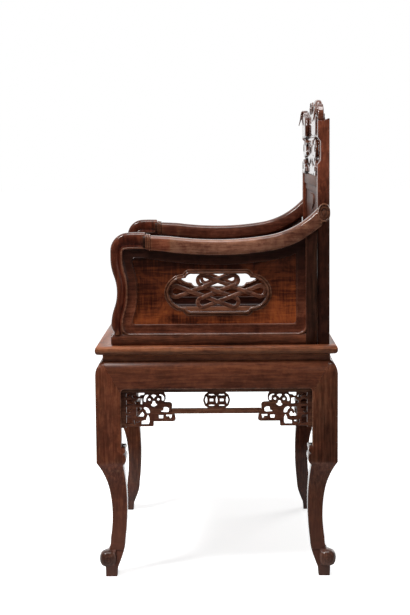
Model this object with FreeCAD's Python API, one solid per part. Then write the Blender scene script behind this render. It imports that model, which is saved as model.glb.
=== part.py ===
"""Armchair with panelled arms, a carved back and openwork frets, built as a joiner would build it.

All lengths are in millimetres. The origin is on the floor under the middle of the seat, +Z is up,
the sitter faces -Y and +X is the sitter's left. Every solid is one wooden piece with its joints.
"""
import FreeCAD, Part
import math
import os

V = FreeCAD.Vector

# Overall sizes
chair_width = 640.0
chair_depth = 502.0
seat_height = 490.0
crest_height = 1003.0

# Fits between pieces
gap = 0.3
overrun = 20.0

# Small curves are cut into straight lengths that stay this close to the curve
fine_radius = 150.0
fine_sag = 0.4
hidden_sag = 1.5

# Seat frame and its floating panel
seat_thick = 18.0
seat_rail_width = 70.0
edge_under = 7.0
edge_over = 5.0
nose_low = 7.5
nose_high = 11.5
seat_tenon_thick = 6.0
seat_tenon_lift = 7.5
seat_tenon_length = 26.0
seat_tenon_inset = 40.0
seat_tenon_width = 18.0
panel_thick = 9.5
panel_tongue_thick = 5.0
panel_tongue = 8.0
batten_width = 30.0
batten_drop = 16.0
batten_tenon = 12.0
batten_tenon_thick = 5.0
dovetail_height = 3.5
dovetail_flare = 2.5

# Waist, apron and the square upper part of the leg
leg_square = 51.0
waist_height = 13.0
waist_inset = 15.0
apron_height = 56.5
apron_face_share = 0.52
skin_depth = 20.0
core_depth = 28.0
corner_radius = 9.0
apron_tenon = 12.0
apron_tenon_margin = 9.5
apron_tenon_cheek = 1.0
leg_tenon_height = 6.0
leg_tenon_long = 12.0
leg_tenon_short = 9.0
leg_tenon_inset = 4.0

# Cabriole lower leg, as shares of the knee height and of the square
knee_height = 246.0
curl_height = 31.0
outer_leg_shares = (
    ((0.296, 0.882), (0.48, 0.755)), ((0.584, 0.541), (0.51, 0.333)), ((0.495, 0.28), (0.465, 0.228)))
foot_shares = (((0.40, 0.226),), ((0.075, 0.155), (0.288, 0.091)), ((0.302, 0.0),))
inner_leg_shares = (((0.785, 0.075),), ((0.905, 0.142), (1.035, 0.214)), ((1.188, 0.56), (1.07, 0.975)))
curl_shares = (
    ((1.195, 0.36), (1.075, 0.60)), ((1.187, 0.80), (1.157, 0.97)), ((1.0, 1.0),))
foot_inner_share = 0.763
ball_inset_share = 0.39
ball_radius_share = 0.33
ball_sides = 14

# Openwork frets under the aprons
fret_inset = 11.0
fret_thick = 14.0
strip_height = 10.0
spandrel_reach = 114.5
spandrel_drop = 72.0
fret_rail_drop = 45.0
fret_rail_height = 9.7
fret_tongue = 8.0
fret_tongue_thick = 6.0
fret_tongue_height = 24.0
spandrel_shares = ((0.0, 1.035), (0.1, 1.035), (0.1, 0.995), (0.6, 0.995), (0.6, 0.85), (0.985, 0.85), (1.0, 0.82),
                   (0.985, 0.66), (0.94, 0.62), (0.935, 0.40), (0.88, 0.305), (0.79, 0.29), (0.825, 0.15),
                   (0.79, 0.0))
hole_shares = {
    "crescent_far": ((0.79, 0.06), (0.775, 0.25), (0.735, 0.25), (0.755, 0.14), (0.71, 0.05)),
    "eye_far": ((0.70, 0.12), (0.722, 0.19), (0.69, 0.235), (0.66, 0.19)),
    "tee": ((0.655, 0.07), (0.60, 0.04), (0.55, 0.07), (0.59, 0.16), (0.615, 0.16)),
    "eye_near": ((0.50, 0.12), (0.54, 0.19), (0.51, 0.235), (0.48, 0.19)),
    "crescent_near": ((0.49, 0.05), (0.445, 0.14), (0.465, 0.25), (0.425, 0.25), (0.405, 0.10)),
    "spade": ((0.615, 0.22), (0.60, 0.30), (0.545, 0.35), (0.60, 0.44), (0.66, 0.35)),
    "seven": ((0.38, 0.0), (0.38, 0.05), (0.33, 0.12), (0.255, 0.12), (0.255, 0.0)),
    "stamp": ((0.37, 0.17), (0.37, 0.31), (0.24, 0.31), (0.24, 0.26), (0.31, 0.17)),
    "block_crescent": ((0.525, 0.60), (0.50, 0.46), (0.40, 0.40), (0.40, 0.50), (0.46, 0.60)),
    "block_hook": ((0.35, 0.40), (0.35, 0.61), (0.29, 0.61), (0.29, 0.40), (0.25, 0.40), (0.25, 0.74),
                   (0.36, 0.74), (0.405, 0.68), (0.405, 0.58)),
    "block_ell": ((0.525, 0.67), (0.525, 0.90), (0.39, 0.90), (0.39, 0.82), (0.46, 0.80), (0.46, 0.67)),
    "block_end": ((0.20, 0.40), (0.20, 0.58), (0.145, 0.58), (0.17, 0.40)),
    "block_foot": ((0.20, 0.66), (0.20, 0.90), (0.13, 0.90), (0.13, 0.72)),
    "tail_top": ((0.88, 0.41), (0.88, 0.565), (0.735, 0.565), (0.735, 0.52), (0.79, 0.51), (0.80, 0.41)),
    "tail_left": ((0.945, 0.66), (0.93, 0.76), (0.85, 0.72), (0.85, 0.66)),
    "tail_right": ((0.79, 0.66), (0.79, 0.76), (0.70, 0.76), (0.70, 0.66))}

# Double coin between the fret rails
coin_ring = 3.6
coin_spread = 10.6
coin_square = 7.5
coin_sides = 10
coin_foot = 4.0
coin_foot_reach = 8.5
star_turns = (0.0, 30.0, 60.0)
star_shares = (0.48, 0.61, 0.61)
star_tip_share = 0.95

# Arm frames
arm_inset = 30.0
arm_post_width = 28.0
post_foot_inset = 32.5
post_notch = 3.2
post_notch_lift = 23.0
post_lobe_inset = 33.0
post_waist_lift = 111.0
waist_radius = 95.0
lobe_radius = 108.0
post_turn = 20.3
head_radius = 37.5
head_inner_radius = 9.5
head_lift = 29.2
post_width = 24.5
post_tenon = 10.0
post_tenon_width = 12.0
post_tenon_thick = 8.0
arm_rise = 203.0
arm_low_place = 8.0
arm_depth = 31.0
arm_rail_width = 38.0
arm_chamfer = 6.0
front_radius = 760.0
middle_radius = 660.0
rear_radius = 192.0
middle_turn = 8.9
scarf_inset = 158.0
scarf_tenon = 16.0
scarf_tenon_thick = 10.0
head_inset = 101.0
head_depth = 31.0
head_slope = 1.3
boss_width = 25.0
boss_height = 38.0
boss_proud = 15.0
boss_lift = 1.0
arm_bottom_height = 23.0
rear_post_gap = 2.0
rear_post_depth = 22.5

# Arm panel, its cartouche and the knot
arm_panel_thick = 12.0
arm_tongue = 6.0
arm_tongue_thick = 7.0
field_border = 20.0
field_sink = 2.0
cartouche_centre = 4.5
cartouche_lift = 108.5
rim_width = 4.8
rim_proud = 3.0
cartouche_shares = (((0.92, 0.49), (0.655, 0.80)), ((0.61, 0.94), (0.50, 1.0)))
knot_lift = 111.0
strand_width = 8.2
strand_thick = 10.0
knot_peg = 5.0
knot_peg_thick = 4.0
strand_spacing = 20.0
strand_angle = 21.0
loop_place = 32.0
knot_half_width = 98.6
weave_depth = 2.2
weave_clear = 3.2
small_loop_steps = 4
large_loop_steps = 7

# Back
stile_width = 38.0
stile_inset = 20.0
stile_depth = 24.0
stile_rear_inset = 16.0
stile_top_drop = 52.0
stile_hollow = 6.0
hollow_length = 55.0
hollow_drop = 86.0
hollow_slope = 8.0
stile_tenon = 9.0
stile_tenon_side = 7.0
stile_tenon_inset = 18.0
stile_tenon_side_inset = 12.5
crest_tenon = 14.0
crest_tenon_side = 12.0
back_inset = 3.0
back_rail_thick = 16.0
back_rail_height = 26.0
mid_rail_height = 22.0
openwork_height = 82.0
back_tenon = 12.0
back_tenon_thick = 7.0
back_tenon_margin = 5.0
back_panel_thick = 10.0
back_tongue = 6.0
back_tongue_thick = 5.0
back_field_border = 14.0
back_field_sink = 2.0
openwork_thick = 12.0
openwork_bar = 7.0
openwork_frame = 9.0
scroll_turn = 130.0
scroll_steps = 6
ring_steps = 12
scroll_bar_share = 0.8
scrolls_a_side = 3
crest_thick = 16.0
crest_shares = (((0.99, 0.35), (0.94, 0.63)), ((0.885, 0.60), (0.865, 0.38)), ((0.85, 0.21), (0.80, 0.18)),
                ((0.72, 0.24), (0.68, 0.42)), ((0.62, 0.54), (0.54, 0.44)), ((0.49, 0.34), (0.44, 0.42)),
                ((0.38, 0.66), (0.30, 0.66)), ((0.22, 0.66), (0.19, 0.78)))
crest_eye_shares = ((0.935, 0.36, 0.21), (0.62, 0.16, 0.19), (0.31, 0.32, 0.21))
crest_eye_hole_share = 0.55
crest_eye_sides = 10
crest_eye_proud = 5.0
crest_roll_radius = 10.5
crest_roll_back = 1.5
crest_roll_share = 0.17
ornament_width = 120.0
ornament_height = 36.0
ornament_proud = 3.0
ornament_drop = 4.0

# Places worked out from the sizes
half_width = chair_width / 2
half_depth = chair_depth / 2
seat_bottom = seat_height - seat_thick
waist_bottom = seat_bottom - waist_height
apron_bottom = waist_bottom - apron_height
fret_top = apron_bottom - strip_height
arm_centre = half_width - arm_inset
arm_low = seat_height + arm_rise
post_foot = half_depth - post_foot_inset
post_lobe = half_depth - post_lobe_inset
head_place = half_depth - head_inset
scarf_place = half_depth - scarf_inset
cartouche_height = seat_height + cartouche_lift
knot_height = seat_height + knot_lift
stile_outer = half_width - stile_inset
stile_rear = half_depth - stile_rear_inset
stile_front = stile_rear - stile_depth
stile_middle = (stile_front + stile_rear) / 2
stile_top = crest_height - stile_top_drop
hollow_high = crest_height - hollow_drop
hollow_low = hollow_high - hollow_length
mid_rail_top = hollow_high - openwork_height
stile_tenon_place = stile_outer - stile_tenon_side_inset
rear_post_far = stile_front - rear_post_gap
rear_post_near = rear_post_far - rear_post_depth
quarter_turn = 90.0
half_turn = 2 * quarter_turn
SIDES = (("left", 0.0), ("front", -quarter_turn), ("right", half_turn), ("rear", quarter_turn))


def box(x0, x1, y0, y1, z0, z1):
    """Box between two corners given in any order."""
    low = V(min(x0, x1), min(y0, y1), min(z0, z1))
    return Part.makeBox(abs(x1 - x0), abs(y1 - y0), abs(z1 - z0), low)


def outline(place, start, steps):
    """Face from a start point and steps, where (end,) is a straight edge and (middle, end) an arc."""
    edges = []
    here = start
    for step in tuple(steps) + ((start,),):
        end = step[-1]
        if (place(*end) - place(*here)).Length < 1e-6:
            continue
        if len(step) == 1:
            edges.append(Part.LineSegment(place(*here), place(*end)).toShape())
        else:
            edges += arc_edges(Part.Arc(place(*here), place(*step[0]), place(*end)))
        here = end
    return Part.Face(Part.Wire(edges))


def arc_edges(arc):
    """Edge of an arc, in straight lengths where its radius is small."""
    edge = arc.toShape()
    radius = edge.Curve.Radius
    return [edge] if radius > fine_radius else chords(edge, radius, fine_sag)


def chords(edge, radius, sag):
    """Straight lengths that stay within a sag of a round edge."""
    turn = edge.Length / radius
    count = math.ceil(turn / (2 * math.acos(1 - sag / radius)))
    points = edge.discretize(count + 1)
    return [Part.LineSegment(a, b).toShape() for a, b in zip(points, points[1:])]


def straightened(face):
    """The face with the curves of its outline in straight lengths."""
    edges = []
    for edge in face.OuterWire.Edges:
        curve = edge.Curve
        edges += chords(edge, curve.Radius, hidden_sag) if hasattr(curve, "Radius") else [edge]
    return Part.Face(Part.Wire(Part.__sortEdges__(edges)))


def polygon(place, points):
    """Face with straight edges through the points."""
    return outline(place, points[0], [(point,) for point in points[1:]])


def round_band(place, centre, radius, width, start, end, count):
    """Flat band along a circle in straight lengths, with angles in degrees."""
    whole = end - start >= 2 * half_turn

    def points(r):
        turns = [math.radians(start + (end - start) * k / count) for k in range(count if whole else count + 1)]
        return [(centre[0] + r * math.cos(a), centre[1] + r * math.sin(a)) for a in turns]

    outer = points(radius + width / 2)
    inner = points(radius - width / 2)
    if whole:
        return polygon(place, outer).cut(polygon(place, inner)).Faces[0]
    return polygon(place, outer + inner[::-1])


def at_x(x):
    return lambda y, z: V(x, y, z)


def at_y(y):
    return lambda x, z: V(x, y, z)


def at_z(z):
    return lambda x, y: V(x, y, z)


def quarter_middle(inset, rise):
    """Middle of an arc that leaves an upright face and falls back by inset over a rise, as (inset, rise)."""
    radius = (inset ** 2 + rise ** 2) / (2 * inset)
    half = math.asin(rise / radius) / 2
    return radius * (1 - math.cos(half)), radius * math.sin(half)


def around(shape, turn):
    """The shape turned about the chair's middle axis."""
    turned = shape.copy()
    turned.rotate(V(0, 0, 0), V(0, 0, 1), turn)
    return turned


def mirror_x(shape):
    return shape.mirror(V(0, 0, 0), V(1, 0, 0))


def mirror_y(shape):
    return shape.mirror(V(0, 0, 0), V(0, 1, 0))


def fuse(shapes):
    """One solid from solids that touch or overlap."""
    return shapes[0].fuse(list(shapes[1:])).removeSplitter()


def spans(side):
    """How far a side's outer face stands from the middle, and half its run."""
    if side in ("left", "right"):
        return half_width, half_depth
    return half_depth, half_width


def mitre(reach, run, depth):
    """Prism that keeps what lies between the two 45 degree corner planes of a side."""
    plan = ((reach + overrun, -run - overrun), (reach + overrun, run + overrun),
            (reach - depth, run - depth), (reach - depth, depth - run))
    return polygon(at_z(0), plan).extrude(V(0, 0, crest_height))


# Seat

def seat_edge(reach, run):
    """Moulded rail bar, longer than it needs to be."""
    inner = (reach - seat_rail_width, seat_bottom)
    under = quarter_middle(edge_under, nose_low)
    over = quarter_middle(edge_over, seat_thick - nose_high)
    steps = (((reach - edge_under, seat_bottom),),
             ((reach - under[0], seat_bottom + nose_low - under[1]), (reach, seat_bottom + nose_low)),
             ((reach, seat_bottom + nose_high),),
             ((reach - over[0], seat_bottom + nose_high + over[1]), (reach - edge_over, seat_height)),
             ((reach - seat_rail_width, seat_height),))
    bar = outline(at_y(-run), inner, steps).extrude(V(0, 2 * run, 0))
    groove_low = seat_height - panel_thick
    groove = box(reach - seat_rail_width, reach - seat_rail_width + panel_tongue + 2 * gap,
                 -run, run, groove_low, groove_low + panel_tongue_thick)
    return bar.cut(groove).common(mitre(reach, run, seat_rail_width))


def seat_tenons(reach, run):
    """Tenons on both ends of a short seat rail."""
    low = seat_bottom + seat_tenon_lift
    near = reach - seat_tenon_inset
    far = near - seat_tenon_width
    root = run - seat_tenon_inset - seat_tenon_width - seat_tenon_length / 4
    tip = run - seat_tenon_inset + seat_tenon_length / 2
    return [box(near, far, way * root, way * tip, low, low + seat_tenon_thick) for way in (-1, 1)]


def seat_rails():
    """Mitred seat frame: the side rails carry the tenons, the front and rear rails the mortises."""
    rails = {}
    for side, turn in SIDES:
        reach, run = spans(side)
        rail = seat_edge(reach, run)
        if side in ("left", "right"):
            rail = fuse([rail] + seat_tenons(reach, run))
        rails[side] = around(rail, turn)
    batten = seat_batten()
    for side in ("front", "rear"):
        rails[side] = rails[side].cut([rails["left"], rails["right"], batten])
    return rails


def seat_batten():
    """Cross batten under the panel, with a sliding dovetail and a tenon at each end."""
    run = half_depth - seat_rail_width
    top = seat_height - panel_thick
    half = batten_width / 2
    bar = box(-half, half, -run, run, top - batten_drop, top)
    tail = polygon(at_y(-run), ((-half + 2 * dovetail_flare, top), (-half + dovetail_flare, top + dovetail_height),
                                (half - dovetail_flare, top + dovetail_height),
                                (half - 2 * dovetail_flare, top))).extrude(V(0, 2 * run, 0))
    low = seat_bottom + gap
    tenon = box(-half / 2, half / 2, -run - batten_tenon, run + batten_tenon, low, low + batten_tenon_thick)
    return fuse([bar, tail, tenon])


def seat_panel():
    """Floating panel with a tongue all round."""
    x = half_width - seat_rail_width
    y = half_depth - seat_rail_width
    low = seat_height - panel_thick
    field = box(-x + gap, x - gap, -y + gap, y - gap, low, seat_height)
    tongue = box(-x - panel_tongue, x + panel_tongue, -y - panel_tongue, y + panel_tongue,
                 low, low + panel_tongue_thick)
    return fuse([field, tongue]).cut(seat_batten())


# Waist and aprons

def waist(reach, run):
    """Recessed strip whose thin lips meet on the mitre in front of the leg."""
    core = box(reach - waist_inset, reach - core_depth, -(run - leg_square), run - leg_square,
               waist_bottom, seat_bottom)
    lip = box(reach - waist_inset, reach - skin_depth, -run, run, waist_bottom, seat_bottom)
    return fuse([core, lip.common(mitre(reach, run, core_depth))])


def skirt_section(reach):
    """Steps of the outer face from the apron's lower edge up to the waist."""
    straight = apron_bottom + apron_face_share * apron_height
    inset, rise = quarter_middle(waist_inset, waist_bottom - straight)
    return (((reach, straight),), ((reach - inset, straight + rise), (reach - waist_inset, waist_bottom)))


def apron(reach, run):
    """Apron with mitred shoulders, a straight core and a tenon at each end."""
    skin = outline(at_y(-run), (reach, apron_bottom - corner_radius),
                   skirt_section(reach) + (((reach - skin_depth, waist_bottom),),
                                           ((reach - skin_depth, apron_bottom - corner_radius),)))
    skin = skin.extrude(V(0, 2 * run, 0))
    inner = run - leg_square
    top = run - waist_inset
    low = apron_bottom - corner_radius
    mid = corner_radius * (1 - math.sqrt(0.5))
    face = outline(at_x(reach), (-inner, low),
                   (((-inner + mid, apron_bottom - mid), (-inner + corner_radius, apron_bottom)),
                    ((inner - corner_radius, apron_bottom),),
                    ((inner - mid, apron_bottom - mid), (inner, low)),
                    ((top, waist_bottom),), ((-top, waist_bottom),)))
    shoulders = face.extrude(V(-skin_depth, 0, 0))
    behind = box(reach - fret_inset, reach - core_depth, -run, run, apron_bottom, low)
    skin = skin.common(shoulders).common(mitre(reach, run, skin_depth)).cut(behind)
    core = box(reach - skin_depth, reach - core_depth, -inner, inner, apron_bottom, waist_bottom)
    tenon = box(reach - skin_depth - apron_tenon_cheek, reach - core_depth + apron_tenon_cheek,
                -inner - apron_tenon, inner + apron_tenon,
                apron_bottom + apron_tenon_margin, waist_bottom - apron_tenon_margin)
    return fuse([skin, core, tenon])


# Legs

def leg_profile():
    """Steps of one leg outline as (inset from the outer face, height)."""
    def low(share):
        return (share[0] * leg_square, share[1] * knee_height)

    def curl(share):
        return (share[0] * leg_square, knee_height + share[1] * curl_height)

    straight = apron_bottom + apron_face_share * apron_height
    inset, rise = quarter_middle(waist_inset, waist_bottom - straight)
    steps = [((inset, straight + rise), (0.0, straight)), ((0.0, knee_height),)]
    steps += [tuple(low(point) for point in step) for step in outer_leg_shares + foot_shares]
    steps += [((foot_inner_share * leg_square, 0.0),)]
    steps += [tuple(low(point) for point in step) for step in inner_leg_shares]
    steps += [tuple(curl(point) for point in step) for step in curl_shares]
    steps += [((leg_square, waist_bottom),)]
    return (waist_inset, waist_bottom), steps


def two_way(start, steps):
    """Solid sawn to the same outline on two faces, at the front left corner."""
    reach = half_depth + overrun

    def side_face(inset, z):
        return V(half_width - reach, inset - half_depth, z)

    def front_face(inset, z):
        return V(half_width - inset, -half_depth - overrun, z)

    one = outline(side_face, start, steps).extrude(V(2 * reach, 0, 0))
    return one.common(outline(front_face, start, steps).extrude(V(0, 2 * reach, 0)))


def foot_waste():
    """What is cut away round the foot, so that its scroll is a ball at the outer corner before a stem."""
    neck = [share * leg_square for share in (foot_shares[-1][0][0], outer_leg_shares[-1][-1][0])]
    low, high = [step[-1][1] * knee_height for step in (foot_shares[1], foot_shares[0])]
    far = 2 * leg_square
    stem = two_way((neck[0], low), (((neck[1], high),), ((far, high),), ((far, low),)))
    radius = ball_radius_share * leg_square
    centre = ball_inset_share * leg_square
    turns = [math.tau * k / ball_sides for k in range(ball_sides)]

    def level(a, b):
        return V(half_width - centre - a, centre + b - half_depth, low)

    ball = polygon(level, [(radius * math.cos(a), radius * math.sin(a)) for a in turns])
    ball = ball.extrude(V(0, 0, high - low))
    zone = box(half_width, half_width - far, -half_depth, far - half_depth, low, high)
    return zone.cut(ball).cut(stem)


def leg_blank():
    """Leg sawn to the same outline on two faces, for the front left corner, with its post and tenons."""
    x = half_width - skin_depth
    y = skin_depth - half_depth
    post = box(x, half_width - leg_square, y, leg_square - half_depth, waist_bottom, seat_bottom)
    near = skin_depth + leg_tenon_inset
    far = leg_square - leg_tenon_inset
    top = seat_bottom + leg_tenon_height
    tenons = [box(half_width - far, half_width - far + leg_tenon_long, near - half_depth,
                  near + leg_tenon_short - half_depth, seat_bottom, top),
              box(half_width - near, half_width - near - leg_tenon_short, far - half_depth,
                  far - leg_tenon_long - half_depth, seat_bottom, top)]
    return fuse([two_way(*leg_profile()).cut(foot_waste()), post] + tenons)


# Frets

def fret_place(reach, run):
    """Maps (distance from the leg, drop below the top strip) to the front plane of the fret."""
    def place(out, drop):
        return V(reach - fret_inset, run - leg_square - out, fret_top - drop)
    return place


def fret_prism(reach, run, shares):
    """Prism through the fret's thickness with an outline in shares of the spandrel's reach and drop."""
    points = [(a * spandrel_reach, b * spandrel_drop) for a, b in shares]
    return polygon(fret_place(reach, run), points).extrude(V(-fret_thick, 0, 0))


def spandrel_plate(reach, run):
    """Unpierced plate of the spandrel beside the rear leg of a side."""
    return fret_prism(reach, run, ((0.0, 0.0),) + spandrel_shares)


def spandrel(reach, run):
    """Openwork spandrel beside the rear leg of a side, with a tongue into the leg."""
    holes = [fret_prism(reach, run, shares) for shares in hole_shares.values()]
    face = reach - fret_inset - (fret_thick - fret_tongue_thick) / 2
    side = run - leg_square
    top = fret_top - fret_tongue_height / 2
    tongue = box(face, face - fret_tongue_thick, side, side + fret_tongue, top, top - fret_tongue_height)
    return fuse([spandrel_plate(reach, run).cut(holes), tongue])


def fret_strip(reach, run):
    """Strip under the apron that carries the fret."""
    side = run - leg_square
    face = reach - fret_inset
    return box(face, face - fret_thick, -side, side, apron_bottom, fret_top)


def fret_rail(reach, run):
    """Lower rail, scribed to the outlines of the spandrels at both ends."""
    half = run - leg_square - spandrel_reach / 2
    top = fret_top - fret_rail_drop + fret_rail_height
    face = reach - fret_inset
    bar = box(face, face - fret_thick, -half, half, top, top - fret_rail_height)
    ends = spandrel_plate(reach, run)
    pieces = bar.cut([ends, mirror_y(ends)]).Solids
    return [piece for piece in pieces if abs(piece.CenterOfMass.y) < gap][0]


def coin_star(place, centre, radius):
    """Four-pointed star with hollow sides and a square hole."""
    points = []
    for quarter in range(4):
        for turn, share in zip(star_turns + (quarter_turn / 2,), star_shares + (star_tip_share,)):
            points.append((math.radians(turn + quarter_turn * quarter), share * radius))
    points.sort()
    half = coin_square / 2
    star = polygon(place, [(centre[0] + r * math.cos(a), centre[1] + r * math.sin(a)) for a, r in points])
    corners = [(centre[0] + u * half, centre[1] + v * half) for u, v in ((-1, -1), (1, -1), (1, 1), (-1, 1))]
    return star.cut(polygon(place, corners)).Faces[0]


def coin_rosette(reach, run):
    """Two linked coins between the strip and the lower rail."""
    opening = fret_rail_drop - fret_rail_height
    radius = opening / 2
    middle = fret_top - radius
    face = reach - fret_inset
    place = at_x(face - fret_thick)
    faces = []
    inner = radius - coin_ring
    for way in (-1, 1):
        centre = (way * coin_spread, middle)
        faces.append(round_band(place, centre, radius - coin_ring / 2, coin_ring, 0.0, 2 * half_turn, coin_sides))
        faces.append(coin_star(place, centre, radius))
    half = coin_spread + coin_foot_reach
    feet = [box(face, face - fret_thick, -half, half, edge, edge + way * coin_foot)
            for edge, way in ((fret_top, -1), (fret_top - opening, 1))]
    holes = [Part.makeCylinder(inner, fret_thick, V(face - fret_thick, way * coin_spread, middle), V(1, 0, 0))
             for way in (-1, 1)]
    return fuse([sheet.extrude(V(fret_thick, 0, 0)) for sheet in faces] + [foot.cut(holes) for foot in feet])


# Arms

def rear_centre():
    """Centre of the arc in which the arm rail rises to the stile."""
    turn = math.radians(middle_turn)
    across = middle_radius - rear_radius
    return arm_low_place + across * math.sin(turn), arm_low + middle_radius - across * math.cos(turn)


def rear_height(y):
    """Height of the arm rail's middle line at a place on its rear arc."""
    centre = rear_centre()
    return centre[1] - math.sqrt(rear_radius ** 2 - (y - centre[0]) ** 2)


def arm_steps(offset):
    """Arcs of the arm rail's side line, from its front end to its rear end, moved down by offset."""
    rear_end = math.degrees(math.asin((stile_middle + gap - rear_centre()[0]) / rear_radius))
    front_end = math.degrees(math.asin((head_place + arm_low_place + overrun / 2) / front_radius))
    arcs = (((arm_low_place, arm_low + front_radius), front_radius, -front_end, 0.0),
            ((arm_low_place, arm_low + middle_radius), middle_radius, 0.0, middle_turn),
            (rear_centre(), rear_radius, middle_turn, rear_end))
    steps = []
    for centre, radius, start, end in arcs:
        turns = [math.radians(turn) for turn in (start, (start + end) / 2, end)]
        steps.append([(centre[0] + (radius + offset) * math.sin(a), centre[1] - (radius + offset) * math.cos(a))
                      for a in turns])
    return steps


def post_edge(shift):
    """Points of the S-shaped front edge from the lower lobe up, at a distance behind the front face."""
    turn = math.radians(post_turn)
    waist = seat_height + post_waist_lift
    far = waist_radius + lobe_radius
    centre = -post_lobe + lobe_radius
    middle = centre - far * math.cos(turn)
    edge = waist_radius + shift
    bulge = lobe_radius - shift
    points = []
    for way in (-1, 1):
        lobe = waist + way * far * math.sin(turn)
        half = turn / 2
        points.append([(centre - bulge, lobe),
                       (centre - bulge * math.cos(half), lobe - way * bulge * math.sin(half)),
                       (middle + edge * math.cos(turn), waist + way * edge * math.sin(turn))])
    low, high = points
    return low + [(middle + edge, waist)] + high[::-1]


def flat_path(edges):
    """Edges in the arm's middle plane from lists of three points or two points."""
    place = at_x(arm_centre)
    shapes = []
    for points in edges:
        if len(points) == 2:
            shapes.append(Part.LineSegment(place(*points[0]), place(*points[1])).toShape())
        else:
            shapes.append(Part.Arc(*[place(*point) for point in points]).toShape())
    return shapes


def post_face():
    """Side outline of the front post with its bent head."""
    outer = post_edge(0.0)
    inner = post_edge(post_width)
    notch = seat_height + post_notch_lift
    top = arm_low + head_lift
    centre = (-post_lobe + head_radius, top - head_radius)
    under = (inner[-1][0] + head_inner_radius, top - head_depth)
    bend = head_radius * math.sqrt(0.5)
    turn = head_inner_radius * math.sqrt(0.5)
    steps = (((-post_foot + post_notch, notch),), (outer[0],), (outer[1], outer[2]), (outer[3], outer[4]),
             (outer[5], outer[6]), ((-post_lobe, centre[1]),),
             ((centre[0] - bend, centre[1] + bend), (centre[0], top)), ((-head_place, top + head_slope),),
             ((-head_place, top + head_slope - head_depth),), (under,),
             ((under[0] - turn, under[1] - head_inner_radius + turn), (inner[-1][0], under[1] - head_inner_radius)),
             (inner[-1],), (inner[5], inner[4]), (inner[3], inner[2]), (inner[1], inner[0]),
             ((inner[0][0], seat_height),))
    return outline(at_x(arm_centre), (-post_foot, seat_height), steps)


def rail_face(above):
    """Side outline of the arm rail, raised by a margin above its top line."""
    low = arm_steps(arm_depth / 2)
    high = arm_steps(-arm_depth / 2 - above)
    edges = low + [[low[-1][-1], high[-1][-1]]] + [arc[::-1] for arc in high[::-1]] + [[high[0][0], low[0][0]]]
    return Part.Face(Part.Wire(flat_path(edges)))


def arm_opening():
    """Face of the opening that the two posts, the bottom rail and the arm rail leave."""
    place = at_x(arm_centre)
    low = seat_height + arm_bottom_height
    high = arm_low + 3 * arm_depth
    sheet = polygon(place, ((-post_foot, low), (rear_post_near, low), (rear_post_near, high), (-post_foot, high)))
    faces = sheet.cut([post_face(), rail_face(arm_depth)]).Faces
    middle = place(arm_low_place, (low + arm_low) / 2)
    return [face for face in faces if face.isInside(middle, gap, True)][0]


def slab(face, thick, middle):
    """Prism of a face in the arm's middle plane, thick across X and centred on middle."""
    body = face.extrude(V(thick, 0, 0))
    body.translate(V(middle - arm_centre - thick / 2, 0, 0))
    return body


def grown(face, by):
    """The face with its outline moved outwards, or inwards where by is negative."""
    return Part.Face(face.makeOffset2D(by, 0).OuterWire) if by else face


def cartouche(grow):
    """Lobed cartouche outline, as a face, with its half sizes grown."""
    a = knot_half_width + strand_width / 2 + grow
    b = knot_height + knot_half_height() - cartouche_height + grow
    quarter = [((u * a, v * b), (p * a, q * b)) for (u, v), (p, q) in cartouche_shares]

    def flip(point, along, up):
        return (cartouche_centre + along * point[0], cartouche_height + up * point[1])

    def forward(along, up):
        return [tuple(flip(point, along, up) for point in step) for step in quarter]

    def backward(along, up):
        starts = [(a, 0.0)] + [step[-1] for step in quarter[:-1]]
        return [(flip(step[0], along, up), flip(start, along, up)) for step, start in zip(quarter[::-1], starts[::-1])]

    top = quarter[-1][-1]
    steps = forward(1, 1) + [(flip(top, -1, 1),)] + backward(-1, 1) + forward(-1, -1)
    steps += [(flip(top, 1, -1),)] + backward(1, -1)
    return outline(at_x(arm_centre), flip((a, 0.0), 1, 1), steps)


def arm_panel(opening):
    """Panel with tongues, a sunk field on both faces and a raised rim round the cartouche."""
    body = slab(opening, arm_panel_thick, arm_centre)
    tongue = slab(straightened(grown(opening, arm_tongue)), arm_tongue_thick, arm_centre)
    field = straightened(grown(opening, -field_border))
    sunk = slab(field, arm_panel_thick, arm_centre).cut(
        slab(field, arm_panel_thick - 2 * field_sink, arm_centre))
    rim = slab(cartouche(rim_width), arm_panel_thick - 2 * field_sink + 2 * rim_proud, arm_centre)
    hole = slab(cartouche(0.0), 2 * arm_panel_thick, arm_centre)
    return fuse([body.cut(sunk), tongue, rim]).cut(hole)


def arm_rail_solid():
    """Arm rail sawn along its curve, with its four long edges chamfered."""
    body = slab(rail_face(0.0), arm_rail_width, arm_centre)
    side = arm_rail_width / 2
    long_edges = [edge for edge in body.Edges
                  if abs(abs(edge.CenterOfMass.x - arm_centre) - side) < gap and edge.Length > arm_depth + gap]
    return body.makeChamfer(arm_chamfer, long_edges)


def boss():
    """Upright oval scroll on the outer face of the stile."""
    y = stile_middle
    z = rear_height(y) + boss_lift
    r = boss_width / 2
    rise = boss_height / 2 - r
    face = outline(at_x(stile_outer), (y - r, z - rise), (((y, z - rise - r), (y + r, z - rise)), ((y + r, z + rise),),
                                                          ((y, z + rise + r), (y - r, z + rise))))
    return face.extrude(V(boss_proud, 0, 0))


def tenon_down(x, y, along, wide, depth):
    """Tenon below the seat's top face, centred on a place."""
    return box(x - wide / 2, x + wide / 2, y - along / 2, y + along / 2, seat_height - depth, seat_height)


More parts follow.
